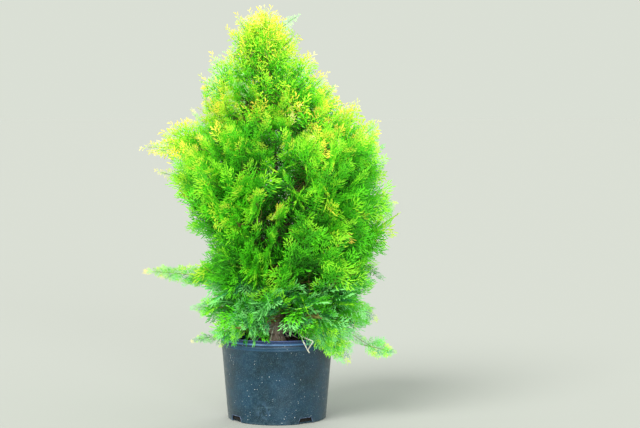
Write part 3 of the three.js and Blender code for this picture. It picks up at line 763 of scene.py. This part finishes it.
def pot_profile():
    """The wall's outline: rounded foot, plain body, stepped collar with a bead, and grooved lip."""
    foot_edge, collar_edge, bead, lip_edge = 0.0025, 0.0008, 0.0018, 0.0012
    collar = POT_HEIGHT - COLLAR_HEIGHT
    collar_radius = POT_BODY_RADIUS + 0.002
    lip = POT_HEIGHT - LIP_HEIGHT
    lip_corner = POT_RIM_RADIUS - lip_edge
    groove = POT_RIM_RADIUS - 0.0028
    groove_edge = POT_RIM_RADIUS - 0.0022
    outside = [
        (FLOOR_HOLE_RADIUS, 0.0),
        (POT_FOOT_RADIUS - 0.012, 0.0),
        *arc((POT_FOOT_RADIUS - foot_edge, foot_edge), foot_edge, -90, 0, 6),
        *((pot_radius(height), height) for height in (0.016, 0.10, collar - 0.003)),
        *arc((collar_radius - collar_edge, collar + 0.0006), collar_edge, -60, 30, 4),
        (collar_radius, collar + 0.004),
        *arc((collar_radius - collar_edge, collar + 0.0075), bead, -50, 50, 6),
        (collar_radius, lip - 0.002),
        *arc((lip_corner, lip + lip_edge), lip_edge, -80, 20, 5),
        (groove_edge, lip + 0.0050),
        (groove, lip + 0.0056),
        (groove_edge, POT_HEIGHT - 2 * lip_edge),
        *arc((lip_corner, POT_HEIGHT - lip_edge), lip_edge, -30, 110, 7),
    ]
    inside = [
        (POT_RIM_RADIUS - 0.0062, POT_HEIGHT - 0.0035),
        (POT_BODY_RADIUS - POT_WALL, lip),
        (pot_radius(collar) - POT_WALL, collar),
        (pot_radius(POT_FLOOR) - POT_WALL, POT_FLOOR),
        (FLOOR_HOLE_RADIUS, POT_FLOOR),
    ]
    return outside + inside


def notch_side(foot):
    """The corners of a notch's right side, upwards: how far each is from its middle, and how high."""
    half = NOTCH_WIDTH / 2
    return [(half, foot), (0.98 * half, 0.35 * NOTCH_HEIGHT), (0.8 * half, NOTCH_HEIGHT)]


def mirrored(corners):
    return [(-x, z) for x, z in corners[::-1]]


def notch_cutter(bearing):
    """A block with narrowing sides, which cuts one drainage notch out of the foot."""
    side = notch_side(-NOTCH_CUT_BELOW)
    outline = side + mirrored(side)
    count = len(outline)
    near = [(x, -POT_FOOT_RADIUS - NOTCH_CUT_DEPTH, z) for x, z in outline]
    far = [(x, -POT_FOOT_RADIUS + NOTCH_CUT_DEPTH, z) for x, z in outline]
    ends = [tuple(range(count)), tuple(range(count, 2 * count))[::-1]]
    walls = [(k, k + count, (k + 1) % count + count, (k + 1) % count) for k in range(count)]
    cutter = solid_object("notch", near + far, ends + walls)
    cutter.rotation_euler = (0, 0, math.radians(bearing))
    return cutter


def make_notch_beads():
    """The raised edges of the drainage notches, pale with dust and a painted highlight."""
    random = np.random.default_rng(SEEDS["notch_beads"])
    side = notch_side(NOTCH_BEAD_FOOT)
    top = side[-1][0]
    across = [(x, NOTCH_HEIGHT) for x in np.linspace(top, -top, 9)[1:-1]]
    x, z = np.array(side + across + mirrored(side)).T
    radius = pot_radius(z)
    turned = np.degrees(np.arcsin(x / radius))
    parts = []
    for bearing in NOTCH_BEARINGS:
        path = radius[:, None] * bearing_vector(bearing + turned) + z[:, None] * UP
        parts.append(bark_limb(path, np.full(len(path), NOTCH_BEAD), 6, 0, random))
    place_piece(mesh_object("notch_beads", *join_parts(parts), mottled_material("pot_edge_dust_and_highlight")), "pot")


def apply_modifiers(piece):
    bpy.context.view_layer.update()
    depsgraph = bpy.context.evaluated_depsgraph_get()
    finished = bpy.data.meshes.new_from_object(piece.evaluated_get(depsgraph))
    piece.modifiers.clear()
    piece.data = finished


def make_pot():
    pot = solid_object("pot_body", *lathe(pot_profile(), POT_SEGMENTS))
    pot.data.materials.append(pot_material())
    cutters = [notch_cutter(bearing) for bearing in NOTCH_BEARINGS]
    for cutter in cutters:
        cut = pot.modifiers.new("notch", "BOOLEAN")
        cut.operation = "DIFFERENCE"
        cut.solver = "EXACT"
        cut.object = cutter
    apply_modifiers(pot)
    for cutter in cutters:
        bpy.data.objects.remove(cutter)
    pot.data.shade_smooth()
    pot.data.set_sharp_from_angle(angle=math.radians(POT_SHARP_ANGLE))
    place_piece(pot, "pot", "pot")


def turned_level(points, angle):
    """Points turned about the upright axis."""
    x, y, z = points.T
    cos, sin = math.cos(angle), math.sin(angle)
    return np.stack([x * cos - y * sin, x * sin + y * cos, z], axis=1)


def make_soil():
    """A low mound of soil, with chips of bark lying on it."""
    random = np.random.default_rng(SEEDS["soil"])
    edge = pot_radius(SOIL_EDGE_TOP) - POT_WALL - SOIL_GAP
    radii = np.linspace(0.002, edge, SOIL_RINGS)
    angles = np.arange(SOIL_SIDES) * TURN / SOIL_SIDES
    heights = np.interp(radii, [0, SOIL_LEVEL_RADIUS, edge], [SOIL_TOP, SOIL_TOP, SOIL_EDGE_TOP])
    bumps = random.normal(0, SOIL_BUMPS, (SOIL_RINGS, SOIL_SIDES))
    bumps[-1] = 0
    top = from_axis(radii[:, None], angles, heights[:, None] + bumps).reshape(-1, 3)
    foot = from_axis(pot_radius(POT_FLOOR) - POT_WALL - SOIL_GAP, angles, POT_FLOOR + SOIL_GAP)
    parts = [(np.concatenate([top, foot]), sleeve(SOIL_RINGS + 1, SOIL_SIDES)[:, ::-1])]

    # Each grain is a lumpy chip with eight faces, turned at random and sunk a little into the soil
    corners = np.array([(1, 0, 0), (-1, 0, 0), (0, 1, 0), (0, -1, 0), (0, 0, 1), (0, 0, -1)], float)
    faces = np.array(
        [(0, 2, 4), (2, 1, 4), (1, 3, 4), (3, 0, 4), (2, 0, 5), (1, 2, 5), (3, 1, 5), (0, 3, 5)]
    )
    for _ in range(SOIL_GRAINS):
        size = GRAIN_SIZE * random.uniform(0.5, 1.6) * random.uniform(0.7, 1.3, 3)
        turn = random.uniform(0, TURN)
        radius = math.sqrt(random.uniform(0.03, 0.92)) * edge
        angle = random.uniform(0, TURN)
        lumpy = corners * size * random.uniform(0.7, 1.2, (6, 1))
        height = np.interp(radius, radii, heights) + 0.4 * size[2]
        parts.append((turned_level(lumpy, turn) + from_axis(radius, angle, height), faces))
    place_piece(mesh_object("soil_bed", *join_parts(parts), soil_material()), "soil", "soil")


# The growth rule of the part's source


def trunk_share(height):
    return (np.asarray(height, float) - TRUNK_FOOT) / (TRUNK_TOP - TRUNK_FOOT)


def trunk_point(height):
    share = np.clip(trunk_share(height), 0, None)
    x = TRUNK_LEAN * share**TRUNK_LEAN_POWER + TRUNK_SWAY * np.sin(TURN * share)
    y = TRUNK_SWAY * np.sin(TRUNK_SWAY_PACE * TURN * share)
    return np.stack([x, y, np.asarray(height, float)], axis=-1)


def trunk_radius(height):
    taper = np.clip(trunk_share(height), 0, 1) ** TRUNK_TAPER_POWER
    flare = TRUNK_FLARE * np.exp((TRUNK_FOOT - height) / TRUNK_FLARE_HEIGHT)
    return TRUNK_FOOT_RADIUS + (TRUNK_TIP_RADIUS - TRUNK_FOOT_RADIUS) * taper + flare


def crown_at(heights):
    """The crown's middle and reach at each height, and no reach above or below it."""
    station, middle, reach = np.array(CROWN).T
    return np.interp(heights, station, middle), np.interp(heights, station, reach, left=0, right=0)


def in_crown(points):
    middle, reach = crown_at(points[:, 2])
    inside = np.hypot(points[:, 0] - middle, points[:, 1]) <= reach + OUTLINE_SLACK
    return inside & (points[:, 2] >= UNDERSIDE_HEIGHT - UNDERSIDE_RISE * points[:, 1])


def is_leafy(points):
    """Whether each point is outside the openings in the crown and the gaps low in its front."""
    leafy = np.ones(len(points), bool)
    for centre, half_size in OPENINGS.values():
        leafy &= np.linalg.norm((points - centre) / np.array(half_size), axis=1) >= 1
    for middle, half_width, height, slope in FRONT_GAPS:
        within = (np.abs(points[:, 0] - middle) < half_width) & (points[:, 1] < 0)
        leafy &= ~(within & (points[:, 2] < height - slope * points[:, 1]))
    return leafy


def crown_middle(height):
    return np.array([float(crown_at(height)[0]), 0, height])


def foliage_mass(name, outward, middle, radius, rise, leaves):
    """A mass's heart, the tip of its bough, and both ends of its stem, which starts at the bough's tip or
    the trunk."""
    heart = middle + radius * outward
    rise = math.radians(rise)
    axis = unit(outward * math.cos(rise) + UP * math.sin(rise))
    bough_tip = heart - STEM_INSET * axis
    stem_height = min(heart[2] - STEM_DROP * radius, TRUNK_TOP)
    return {
        "name": name,
        "outward": outward,
        "heart": heart,
        "leaves": leaves,
        "bough_tip": bough_tip,
        "stem_root": bough_tip if leaves else trunk_point(stem_height),
        "stem_end": heart + STEM_LENGTH * axis,
    }


def list_masses():
    masses = []
    for name, count, first, tier_height, stagger, radius, rise, leaves in TIERS:
        for i in range(count):
            outward = bearing_vector(first + 360 * i / count)
            height = tier_height + (stagger if i % 2 else -stagger)
            middle = crown_middle(height) if leaves else trunk_point(height)
            bough_height = leaves + BOUGH_STAGGER * (i % 3) if leaves else None
            masses.append(foliage_mass(f"{name}_{i + 1}", outward, middle, radius, rise, bough_height))
    masses.append(foliage_mass("leader", UP, crown_middle(LEADER_HEART_HEIGHT), 0, 90, None))
    return masses


MASSES = list_masses()
HEARTS = np.array([mass["heart"] for mass in MASSES])


def nearest_mass(points):
    """The mass whose space each point is in: the one with the nearest heart."""
    return np.argmin(np.linalg.norm(points[:, None] - HEARTS[None], axis=2), axis=1)


# Trunk and boughs, with the relief of their bark


def bark_limb(path, radii, sides, relief, random):
    """A tapering limb along a path, with long shallow fibres standing out of its bark."""
    along = unit(np.gradient(path, axis=0))
    sideways = RIGHT if abs(along[:, 0]).max() < 0.8 else np.array([0.0, 1.0, 0.0])
    v = unit(np.cross(along, sideways))
    u = np.cross(v, along)
    lengths = np.concatenate([[0], np.cumsum(np.linalg.norm(np.diff(path, axis=0), axis=1))])
    stations = np.arange(0, lengths[-1] + FIBRE_OVERRUN, FIBRE_LENGTH)
    heights = random.uniform(-1, 1, (len(stations), sides))
    fibres = np.stack([np.interp(lengths, stations, heights[:, k]) for k in range(sides)], axis=1)
    fine = random.uniform(-FIBRE_ROUGHNESS, FIBRE_ROUGHNESS, (len(path), sides))
    distance = radii[:, None] * (1 + relief * (fibres + fine))
    angle = np.arange(sides) * TURN / sides
    across = u[:, None] * (distance * np.cos(angle))[..., None]
    upright = v[:, None] * (distance * np.sin(angle))[..., None]
    return (path[:, None] + across + upright).reshape(-1, 3), sleeve(len(path), sides)


def make_trunk(bark):
    random = np.random.default_rng(SEEDS["trunk"])
    heights = TRUNK_FOOT + (TRUNK_TOP - TRUNK_FOOT) * np.linspace(0, 1, TRUNK_RINGS) ** TRUNK_RING_POWER
    path = trunk_point(heights)
    points, triangles = bark_limb(path, trunk_radius(heights), TRUNK_SIDES, TRUNK_RELIEF, random)
    points[:TRUNK_SIDES, 2] = TRUNK_FOOT
    place_piece(mesh_object("trunk_bark", points, triangles, bark), "bark", "trunk")


def curve(first, bend, last, shares):
    """Points at shares from 0 to 1 of curves that start towards their bend and end coming from it."""
    shares = np.asarray(shares)[..., None]
    return (1 - shares) ** 2 * first + 2 * shares * (1 - shares) * bend + shares**2 * last


def bough_path(mass, steps):
    root = trunk_point(mass["leaves"])
    tip = mass["bough_tip"]
    bend = (root + tip) / 2 + BOUGH_BEND * np.linalg.norm(tip - root) * mass["outward"]
    return curve(root, bend, tip, np.linspace(0, 1, steps))


def make_boughs(bark):
    random = np.random.default_rng(SEEDS["boughs"])
    carried = [mass for mass in MASSES if mass["leaves"]]
    parts = []
    for mass in carried:
        root_radius = min(BOUGH_ROOT_RADIUS, BOUGH_ROOT_SHARE * trunk_radius(mass["leaves"]))
        radii = np.linspace(root_radius, BOUGH_TIP_RADIUS, BOUGH_RINGS)
        parts.append(bark_limb(bough_path(mass, BOUGH_RINGS), radii, BOUGH_SIDES, BOUGH_RELIEF, random))
    nodes = [f"{mass['name']}_bough" for mass in carried]
    place_piece(mesh_object("boughs_bark", *join_parts(parts), bark), "bark", *nodes)


# Sprays: flat fans of leaflets on a branching stalk


def flat_direction(angle):
    """A direction in a spray's plane, and the one square to it."""
    cos, sin = math.cos(angle), math.sin(angle)
    return np.array([cos, sin, 0]), np.array([-sin, cos, 0])


class SprayShape:
    """One spray of length 1, lying along x and spreading in y, as points and triangles of three kinds."""

    def __init__(self, form, seed):
        self.form = SPRAY_FORMS[form]
        self.random = np.random.default_rng(seed)
        self.points = []
        self.triangles = []
        self.kinds = []
        self.grow()
        self.points = np.array(self.points)
        self.triangles = np.array(self.triangles)
        self.kinds = np.array(self.kinds)

    def add(self, points, triangles, kind):
        start = len(self.points)
        self.points.extend(points)
        self.triangles.extend([(a + start, b + start, c + start) for a, b, c in triangles])
        self.kinds.extend([kind] * len(triangles))

    def stalk(self, start, end, width, tip_width, kind):
        along = unit(np.array(end) - np.array(start))
        side = np.array([-along[1], along[0], 0])
        foot, tip = side * width, side * tip_width
        self.add([start - foot, start + foot, end + tip, end - tip], [(0, 2, 1), (0, 3, 2)], kind)

    def leaflet(self, base, angle, length, kind):
        """A blunt blade folded along its middle, with four faces."""
        width = self.form["width"]
        along, side = flat_direction(angle)
        keel = np.array([0, 0, 0.28 * width])
        lift = np.array([0, 0, self.random.uniform(-0.16, 0.16) * length])
        waist = base + along * (0.38 * length) - keel
        shoulder = base + along * (0.82 * length) - keel + 0.7 * lift
        points = [
            base,
            waist + side * (0.5 * width),
            shoulder + side * (0.36 * width),
            base + along * length + lift,
            shoulder - side * (0.36 * width),
            waist - side * (0.5 * width),
        ]
        self.add(points, [(0, 2, 1), (0, 3, 2), (0, 4, 3), (0, 5, 4)], kind)

    def branchlet(self, base, angle, length, kind):
        """A side branch with alternate leaflets, and one at its end."""
        width = 0.28 * self.form["width"]
        leaf = self.form["leaf"]
        along = flat_direction(angle)[0]
        side = 1
        distance = self.form["spacing"] / 2
        while distance < length - 0.03:
            turn = math.radians(self.random.uniform(20, 34)) * side
            reach = (1 - 0.33 * distance / length) * self.random.uniform(0.8, 1.2)
            self.leaflet(base + along * distance, angle + turn, reach * leaf, kind)
            distance += self.form["spacing"]
            side = -side
        self.stalk(base, base + along * length, width, 0.6 * width, kind)
        self.leaflet(base + along * (length - 0.02), angle, leaf, TIP)

    def grow(self):
        """Alternate branchlets along a swaying stalk, which turn forward towards its end."""
        sway = self.random.uniform(-0.07, 0.07)
        side = 1 if self.random.random() < 0.5 else -1
        previous = np.zeros(3)
        for place in np.linspace(0.12, 0.92, self.form["branchlets"]):
            here = np.array([place, sway * math.sin(math.pi * place), 0])
            kind = STALK if place < 0.3 else LEAF
            self.stalk(previous, here, 0.010 * (1.15 - place), 0.010 * (1.1 - place), kind)
            previous = here
            length = np.interp(place, [0, 0.3, 0.65, 1], self.form["lengths"])
            length *= self.random.uniform(0.8, 1.15)
            angle = math.radians(np.interp(place, [0, 1], BRANCHLET_ANGLES) + self.random.uniform(-6, 6))
            self.branchlet(here, side * angle, length, TIP if place > TIPS_FROM else LEAF)
            side = -side
        self.leaflet(previous, self.random.uniform(-0.1, 0.1), self.form["leaf"], TIP)


SHAPES = {
    form: [SprayShape(form, seed) for seed in values["seeds"]] for form, values in SPRAY_FORMS.items()
}


def spray_length_at(heights):
    return np.interp(heights, SPRAY_LENGTH_HEIGHTS, SPRAY_LENGTHS)


def outline_points(count, start):
    """Points spread over the crown's outline, from its underside to its top, closer for short sprays."""
    heights = np.linspace(UNDERSIDE_HEIGHT, CROWN[-1][0] - 0.004, OUTLINE_STEPS)
    reach = crown_at(heights)[1]
    area = np.hypot(np.diff(heights), np.diff(reach)) * (reach[1:] + reach[:-1])
    fronds = area / spray_length_at(heights[1:]) ** 1.3
    grown = np.concatenate([[0], np.cumsum(fronds)])
    shares = (np.arange(count) + 0.5) / count
    z = np.interp(shares * grown[-1], grown, heights)
    middle, reach = crown_at(z)
    angle = start + np.arange(count) * GOLDEN_ANGLE
    return np.stack([middle + reach * np.sin(angle), -reach * np.cos(angle), z], axis=1)


def plane_across(direction, twist):
    """A vector square to a direction, level at no twist and upright at a quarter turn."""
    level = np.cross(UP, direction)
    level = RIGHT if np.linalg.norm(level) < 0.05 else unit(level)
    return level * math.cos(twist) + np.cross(direction, level) * math.sin(twist)


def layer_fronds(count, spray_count, tip_inset, form, start, random):
    """The fronds of one layer: their tips are spread over the crown, a little inside its outline."""
    points = outline_points(count, start) + random.normal(0, SCATTER["tip"], (count, 3))
    owner = nearest_mass(points)
    outward = unit(points - HEARTS[owner])
    radial = unit((points - trunk_point(points[:, 2] - 0.05)) * (1, 1, 0.4))
    lift = np.interp(points[:, 2], SPRAY_LIFT_HEIGHTS, SPRAY_LIFTS)
    lift += random.normal(0, SCATTER["lift"], count)
    aim = AIM_SHARES[0] * outward + AIM_SHARES[1] * radial + lift[:, None] * UP
    direction = unit(aim + random.normal(0, SCATTER["aim"], (count, 3)))
    tip = points - random.uniform(*tip_inset, count)[:, None] * radial
    fronds = []
    for i in range(count):
        usual = spray_length_at(points[i, 2])
        spray = usual * random.uniform(*FROND_SPREAD)
        half = random.uniform(*FROND_LENGTH) / 2 * math.sqrt(usual / SPRAY_LENGTHS[0])
        end = tip[i] - SPRAY_OVERHANG * spray * direction[i]
        bend = end - half * direction[i]
        fronds.append(
            {
                "base": bend - half * unit(radial[i] + 0.3 * direction[i]),
                "bend": bend,
                "end": end,
                "across": plane_across(direction[i], random.uniform(*FROND_TWIST)),
                "sprays": spray_count,
                "spray_length": spray,
                "taper": FROND_TAPER,
                "owner": owner[i],
                "golden": random.normal(0, SCATTER["frond_golden"]),
                "set_golden": math.nan,
                "form": form if spray > FINGER_SPRAY_LENGTH else "finger",
            }
        )
    return fronds


def shoot_fronds(random):
    """The long shoots, as upright fronds that stand out of the crown."""
    fronds = []
    for base, tip, bow, sprays, spray_length, golden in LONG_SHOOTS.values():
        base, tip = np.array(base), np.array(tip)
        bend = (base + tip) / 2 + bow * UP
        direction = unit(tip - bend)
        has_fingers = spray_length < FINGER_SPRAY_LENGTH and tip[2] > FINGER_HEIGHT
        fronds.append(
            {
                "base": base,
                "bend": bend,
                "end": tip - SPRAY_OVERHANG * SHOOT_TAPER[-1] * spray_length * direction,
                "across": plane_across(direction, random.uniform(*SHOOT_TWIST)),
                "sprays": sprays,
                "spray_length": spray_length,
                "taper": SHOOT_TAPER,
                "owner": nearest_mass(base[None])[0],
                "golden": 0.0,
                "set_golden": golden,
                "form": "finger" if has_fingers else "fine",
            }
        )
    return fronds


def frond_sprays(number, frond, random):
    """Alternate sprays along a frond's stalk, in the plane of the frond, and one at its end."""
    count = frond["sprays"]
    share = np.append(np.linspace(0.10, 0.92, count - 1), 1.0)
    root = curve(frond["base"], frond["bend"], frond["end"], share)
    along = unit(curve(frond["base"], frond["bend"], frond["end"], share + 0.02) - root)
    side = np.where(np.arange(count) % 2, 1.0, -1.0)
    side[-1] = 0
    angle = side * np.radians(np.interp(share, [0, 1], SPRAY_ANGLES))
    across = frond["across"]
    direction = along * np.cos(angle)[:, None] + across * np.sin(angle)[:, None]
    direction = unit(direction + random.normal(0, SCATTER["spray_aim"], (count, 3)))
    normal = np.cross(frond["end"] - frond["bend"], across)
    twisted = unit(normal) + random.normal(0, SCATTER["spray_twist"], (count, 3))
    taper = np.interp(share, TAPER_PLACES, frond["taper"])
    return {
        "frond": np.full(count, number),
        "root": root,
        "direction": direction,
        "across": unit(np.cross(twisted, direction)),
        "length": frond["spray_length"] * taper * random.uniform(*SPRAY_SPREAD, count),
        "owner": np.full(count, frond["owner"]),
        "golden": frond["golden"] + random.normal(0, SCATTER["spray_golden"], count),
        "set_golden": np.full(count, frond["set_golden"]),
        "along_frond": share,
        "form": np.full(count, frond["form"]),
    }


def grow_sprays(fronds, random):
    """The sprays of all fronds, without those that would fill an opening or reach out of the crown.
    A frond that would lose most of its sprays isn't grown at all."""
    grown = [frond_sprays(number, frond, random) for number, frond in enumerate(fronds)]
    sprays = {key: np.concatenate([group[key] for group in grown]) for key in grown[0]}
    sprays["span"] = sprays["direction"] * sprays["length"][:, None]
    sprays["is_shoot"] = ~np.isnan(sprays["set_golden"])
    root, span = sprays["root"], sprays["span"]
    kept = in_crown(root + span) & (root[:, 2] > SPRAY_ROOT_FLOOR)
    for share in (0.4, 0.7, 1):
        kept &= is_leafy(root + share * span)
    kept |= sprays["is_shoot"]
    grown_share = np.bincount(sprays["frond"], kept) / np.bincount(sprays["frond"])
    kept &= grown_share[sprays["frond"]] > LEAST_GROWN
    return {key: value[kept] for key, value in sprays.items()}


def nearness(points, centre, reach):
    """1 well within the reach of a place, falling to 0 a little outside it."""
    away = np.linalg.norm(points - np.array(centre), axis=1)
    return 1 - smooth_step(0.5 * reach, 1.3 * reach, away)


def deal_colours(sprays, random):
    """The colour of each spray's leaflets and of its tips, by height, place and depth."""
    tips = sprays["root"] + sprays["span"]
    is_shoot = sprays["is_shoot"]
    golden = np.interp(tips[:, 2], GOLDEN_HEIGHTS, GOLDEN_SHARES)
    middle, reach = crown_at(tips[:, 2])
    depth = reach - np.hypot(tips[:, 0] - middle, tips[:, 1])
    golden -= np.interp(depth, SHADE_DEPTHS, SHADES)
    for centre, reach, more in GOLDEN_PLACES:
        golden += more * nearness(tips, centre, reach)
    along_shoot = SHOOT_FOOT_GOLDEN + (sprays["set_golden"] - SHOOT_FOOT_GOLDEN) * sprays["along_frond"]
    golden = np.where(is_shoot, along_shoot, golden) + sprays["golden"]

    def drawn(share):
        return random.random(len(tips)) < share

    gold = COLOUR_INDEX["gold"]
    base = np.clip(np.floor(golden * gold), 0, gold - 1).astype(int)
    tip = np.clip(base + np.where(drawn(LONG_STEP_SHARE), 2, 1), 0, gold)
    pale_gold = (tip == gold) & drawn(np.where(is_shoot, PALE_GOLD_SHOOT_SHARE, PALE_GOLD_SHARE))
    tip[pale_gold] = COLOUR_INDEX["pale_gold"]
    low = tips[:, 2] < LOW_FOLIAGE_TOP
    base[low & drawn(BLUISH_SHARE)] = COLOUR_INDEX["bluish_green"]
    tip[low & drawn(SOFT_SHARE)] = COLOUR_INDEX["soft_green"]
    for centre, reach, share in PALE_PLACES:
        tip[drawn(nearness(tips, centre, reach) * share)] = COLOUR_INDEX["pale_green"]
    sprig = np.linalg.norm(tips - LONG_SHOOTS["top_right"][1], axis=1) < PALE_SPRIG_REACH
    base[sprig] = COLOUR_INDEX["soft_green"]
    tip[sprig] = COLOUR_INDEX["pale_green"]
    tip[~low & drawn(BRONZE_SHARE)] = COLOUR_INDEX["bronze"]
    return base, tip


def spread_shape(shape, sprays, chosen, random):
    """The points of one shape laid along each chosen spray, cupped and bent as each one hangs."""
    root, direction, across, length = (
        sprays[key][chosen] for key in ("root", "direction", "across", "length")
    )
    normal = np.cross(direction, across)
    curl = random.uniform(*SPRAY_CURL, len(root))[:, None]
    droop = -random.uniform(*SPRAY_DROOP, len(root))[:, None, None] * UP
    along, side, height = shape.points.T
    raised = height + curl * along**2 - SPRAY_CUP * np.abs(curl) * side**2
    points = (
        along[:, None] * direction[:, None]
        + side[:, None] * across[:, None]
        + raised[..., None] * normal[:, None]
        + along[:, None] ** 2 * droop
    )
    return root[:, None] + points * length[:, None, None]


def clear_of_pot(points):
    """Pushes what would be in the pot's wall or below its rim out over the rim, or up."""
    wall = POT_RIM_RADIUS + RIM_CLEARANCE
    top = POT_HEIGHT + RIM_CLEARANCE_ABOVE
    radius = np.hypot(points[:, 0], points[:, 1])
    low = (points[:, 2] < top) & (radius < wall)
    outward = low & (radius > RIM_PUSH_RADIUS)
    points[outward, :2] *= (wall / radius[outward])[:, None]
    points[low & ~outward, 2] = top
    return points


def twig_mesh(fork, bend, end, radius, tip_radius, steps, sides):
    """Curved twigs, all at once, each from its fork through a bend to its end."""
    shares = np.linspace(0, 1, steps)[None]
    path = curve(fork[:, None], bend[:, None], end[:, None], shares)
    along = unit(np.gradient(path, axis=1))
    v = unit(np.cross(along, np.where(np.abs(along[..., 2:]) < 0.9, UP, RIGHT)))
    u = np.cross(v, along)
    thickness = (radius + (tip_radius - radius) * shares)[..., None]
    angles = np.arange(sides) * TURN / sides
    rings = [path + thickness * (u * math.cos(angle) + v * math.sin(angle)) for angle in angles]
    starts = np.arange(len(fork)) * steps * sides
    triangles = sleeve(steps, sides)[None] + starts[:, None, None]
    return np.stack(rings, axis=2).reshape(-1, 3), triangles.reshape(-1, 3)


def gathered(items, *keys):
    """The values under each key of all items, as one array a key."""
    return [np.array([item[key] for item in items]) for key in keys]


def woody_twigs(fronds, random):
    """The stem of each mass, and the twigs that fork from it and end where the fronds begin. Fronds that
    begin outside the leafy crown get no twig."""
    leafy = [frond for frond in fronds if is_leafy(frond["base"][None])[0]]
    stem_root, stem_end = gathered(MASSES, "stem_root", "stem_end")
    base, bend, owner = gathered(leafy, "base", "bend", "owner")
    share = random.uniform(0.3, 1, (len(leafy), 1))
    fork = stem_root[owner] + (stem_end[owner] - stem_root[owner]) * share
    reach = np.linalg.norm(base - fork, axis=1)[:, None]
    turn = base - 0.4 * reach * unit(bend - base)
    stems = twig_mesh(stem_root, (stem_root + stem_end) / 2, stem_end, STEM_RADIUS, TWIG_RADIUS, 6, 6)
    return join_parts([stems, twig_mesh(fork, turn, base, TWIG_RADIUS, FROND_RADIUS, 5, 4)])


def frond_stalks(fronds):
    return twig_mesh(*gathered(fronds, "base", "bend", "end"), FROND_RADIUS, TWIG_TIP_RADIUS, 7, 4)


def bare_twigs(random):
    """Dry twigs low on the trunk and round its foot, and a forked one that hangs over the rim."""
    count = BARE_TWIGS["count"]

    def draw(key):
        return random.uniform(*BARE_TWIGS[key], (count, 1))

    ahead = bearing_vector(random.uniform(*BARE_TWIGS["bearing"], count))
    reach = draw("reach")
    root = ahead * 0.012 + draw("height") * UP
    bend = root + 0.6 * reach * ahead + draw("rise") * UP
    end = root + reach * ahead - draw("fall") * UP
    fork = curve(root, bend, end, np.full(count, BARE_TWIGS["fork"]))
    side_end = end + random.normal(0, 0.016, end.shape) * (1, 1, 0.5)
    over_rim = np.array(FORKED_TWIG)
    starts, stops = over_rim[[0, 1, 2, 1, 4, 3]], over_rim[[1, 2, 3, 4, 3, 5]]
    bends = (starts + stops) / 2 + random.normal(0, 0.002, starts.shape)
    foot, foot_end = np.array(FOOT_TWIGS).transpose(1, 0, 2)
    foot_bend = (foot + foot_end) / 2 + random.normal(0, 0.005, foot.shape)
    return join_parts(
        [
            twig_mesh(root, bend, end, *BARE_RADII["trunk"], 6, 5),
            twig_mesh(fork, (fork + side_end) / 2, side_end, *BARE_RADII["fork"], 4, 4),
            twig_mesh(starts, bends, stops, *BARE_RADII["rim"], 4, 3),
            twig_mesh(foot, foot_bend, foot_end, *BARE_RADII["foot"], 6, 5),
        ]
    )


def used_only(points, triangles):
    """Only the points that triangles use, and the triangles renumbered to match. Points may be of many
    copies of one shape."""
    used, compact = np.unique(triangles, return_inverse=True)
    return points[..., used, :], compact.reshape(-1, 3)


def place_copies(points, triangles):
    """Chosen triangles of one shape in each of its copies, as one pair of points and triangles."""
    points, triangles = used_only(points, triangles)
    offsets = np.arange(len(points)) * points.shape[1]
    return points.reshape(-1, 3), (triangles + offsets[:, None, None]).reshape(-1, 3)


def add_piece(name, points, triangles, material, slot, *nodes):
    place_piece(mesh_object(name, clear_of_pot(points), triangles, material), slot, *nodes)


def lay_sprays(sprays, random):
    """The meshes of the sprays' stalks, and of the leaflets by colour, with the masses that they are of."""
    base, tip = deal_colours(sprays, random)
    drawn = random.random(len(base))
    meshes = {name: [] for name, _, _ in COLOURS}
    owners = {name: set() for name, _, _ in COLOURS}
    stalks = []
    for form, shapes in SHAPES.items():
        number = (drawn * len(shapes)).astype(int)
        for i, shape in enumerate(shapes):
            chosen = np.flatnonzero((sprays["form"] == form) & (number == i))
            points = spread_shape(shape, sprays, chosen, random)
            stalks.append(place_copies(points, shape.triangles[shape.kinds == STALK]))
            for kind, dealt in ((LEAF, base[chosen]), (TIP, tip[chosen])):
                triangles = shape.triangles[shape.kinds == kind]
                for colour in np.unique(dealt):
                    name = COLOURS[colour][0]
                    mine = np.flatnonzero(dealt == colour)
                    meshes[name].append(place_copies(points[mine], triangles))
                    owners[name].update(sprays["owner"][chosen[mine]])
    return stalks, meshes, owners


def make_foliage():
    random = np.random.default_rng(SEEDS["foliage"])
    fronds = []
    for i, layer in enumerate(LAYERS):
        fronds += layer_fronds(*layer, LAYER_TURN * i, random)
    fronds += shoot_fronds(np.random.default_rng(SEEDS["shoots"]))
    sprays = grow_sprays(fronds, random)
    stalks, meshes, owners = lay_sprays(sprays, random)
    for name, colour, slot in COLOURS:
        points, triangles = join_parts(meshes[name])
        leaf = leaf_material(f"leaf_{name}", colour)
        nodes = [f"{MASSES[i]['name']}_foliage" for i in sorted(owners[name])]
        pieces = np.array_split(triangles, math.ceil(len(triangles) / MOST_TRIANGLES))
        for number, piece in enumerate(pieces):
            add_piece(f"sprays_{name}_{number + 1}", *used_only(points, piece), leaf, slot, *nodes)
    fronds = [fronds[number] for number in np.unique(sprays["frond"])]
    add_piece("twigs", *woody_twigs(fronds, random), mottled_material("twig"), "bark")
    stalks = join_parts([frond_stalks(fronds), *stalks])
    add_piece("stalks", *stalks, mottled_material("stalk"), "middle_foliage")
    add_piece("bare_twigs", *bare_twigs(random), mottled_material("bare_twig"), "bark")


make_camera()
make_studio()
make_pot()
make_notch_beads()
make_soil()
bark = bark_material()
make_trunk(bark)
make_boughs(bark)
make_foliage()
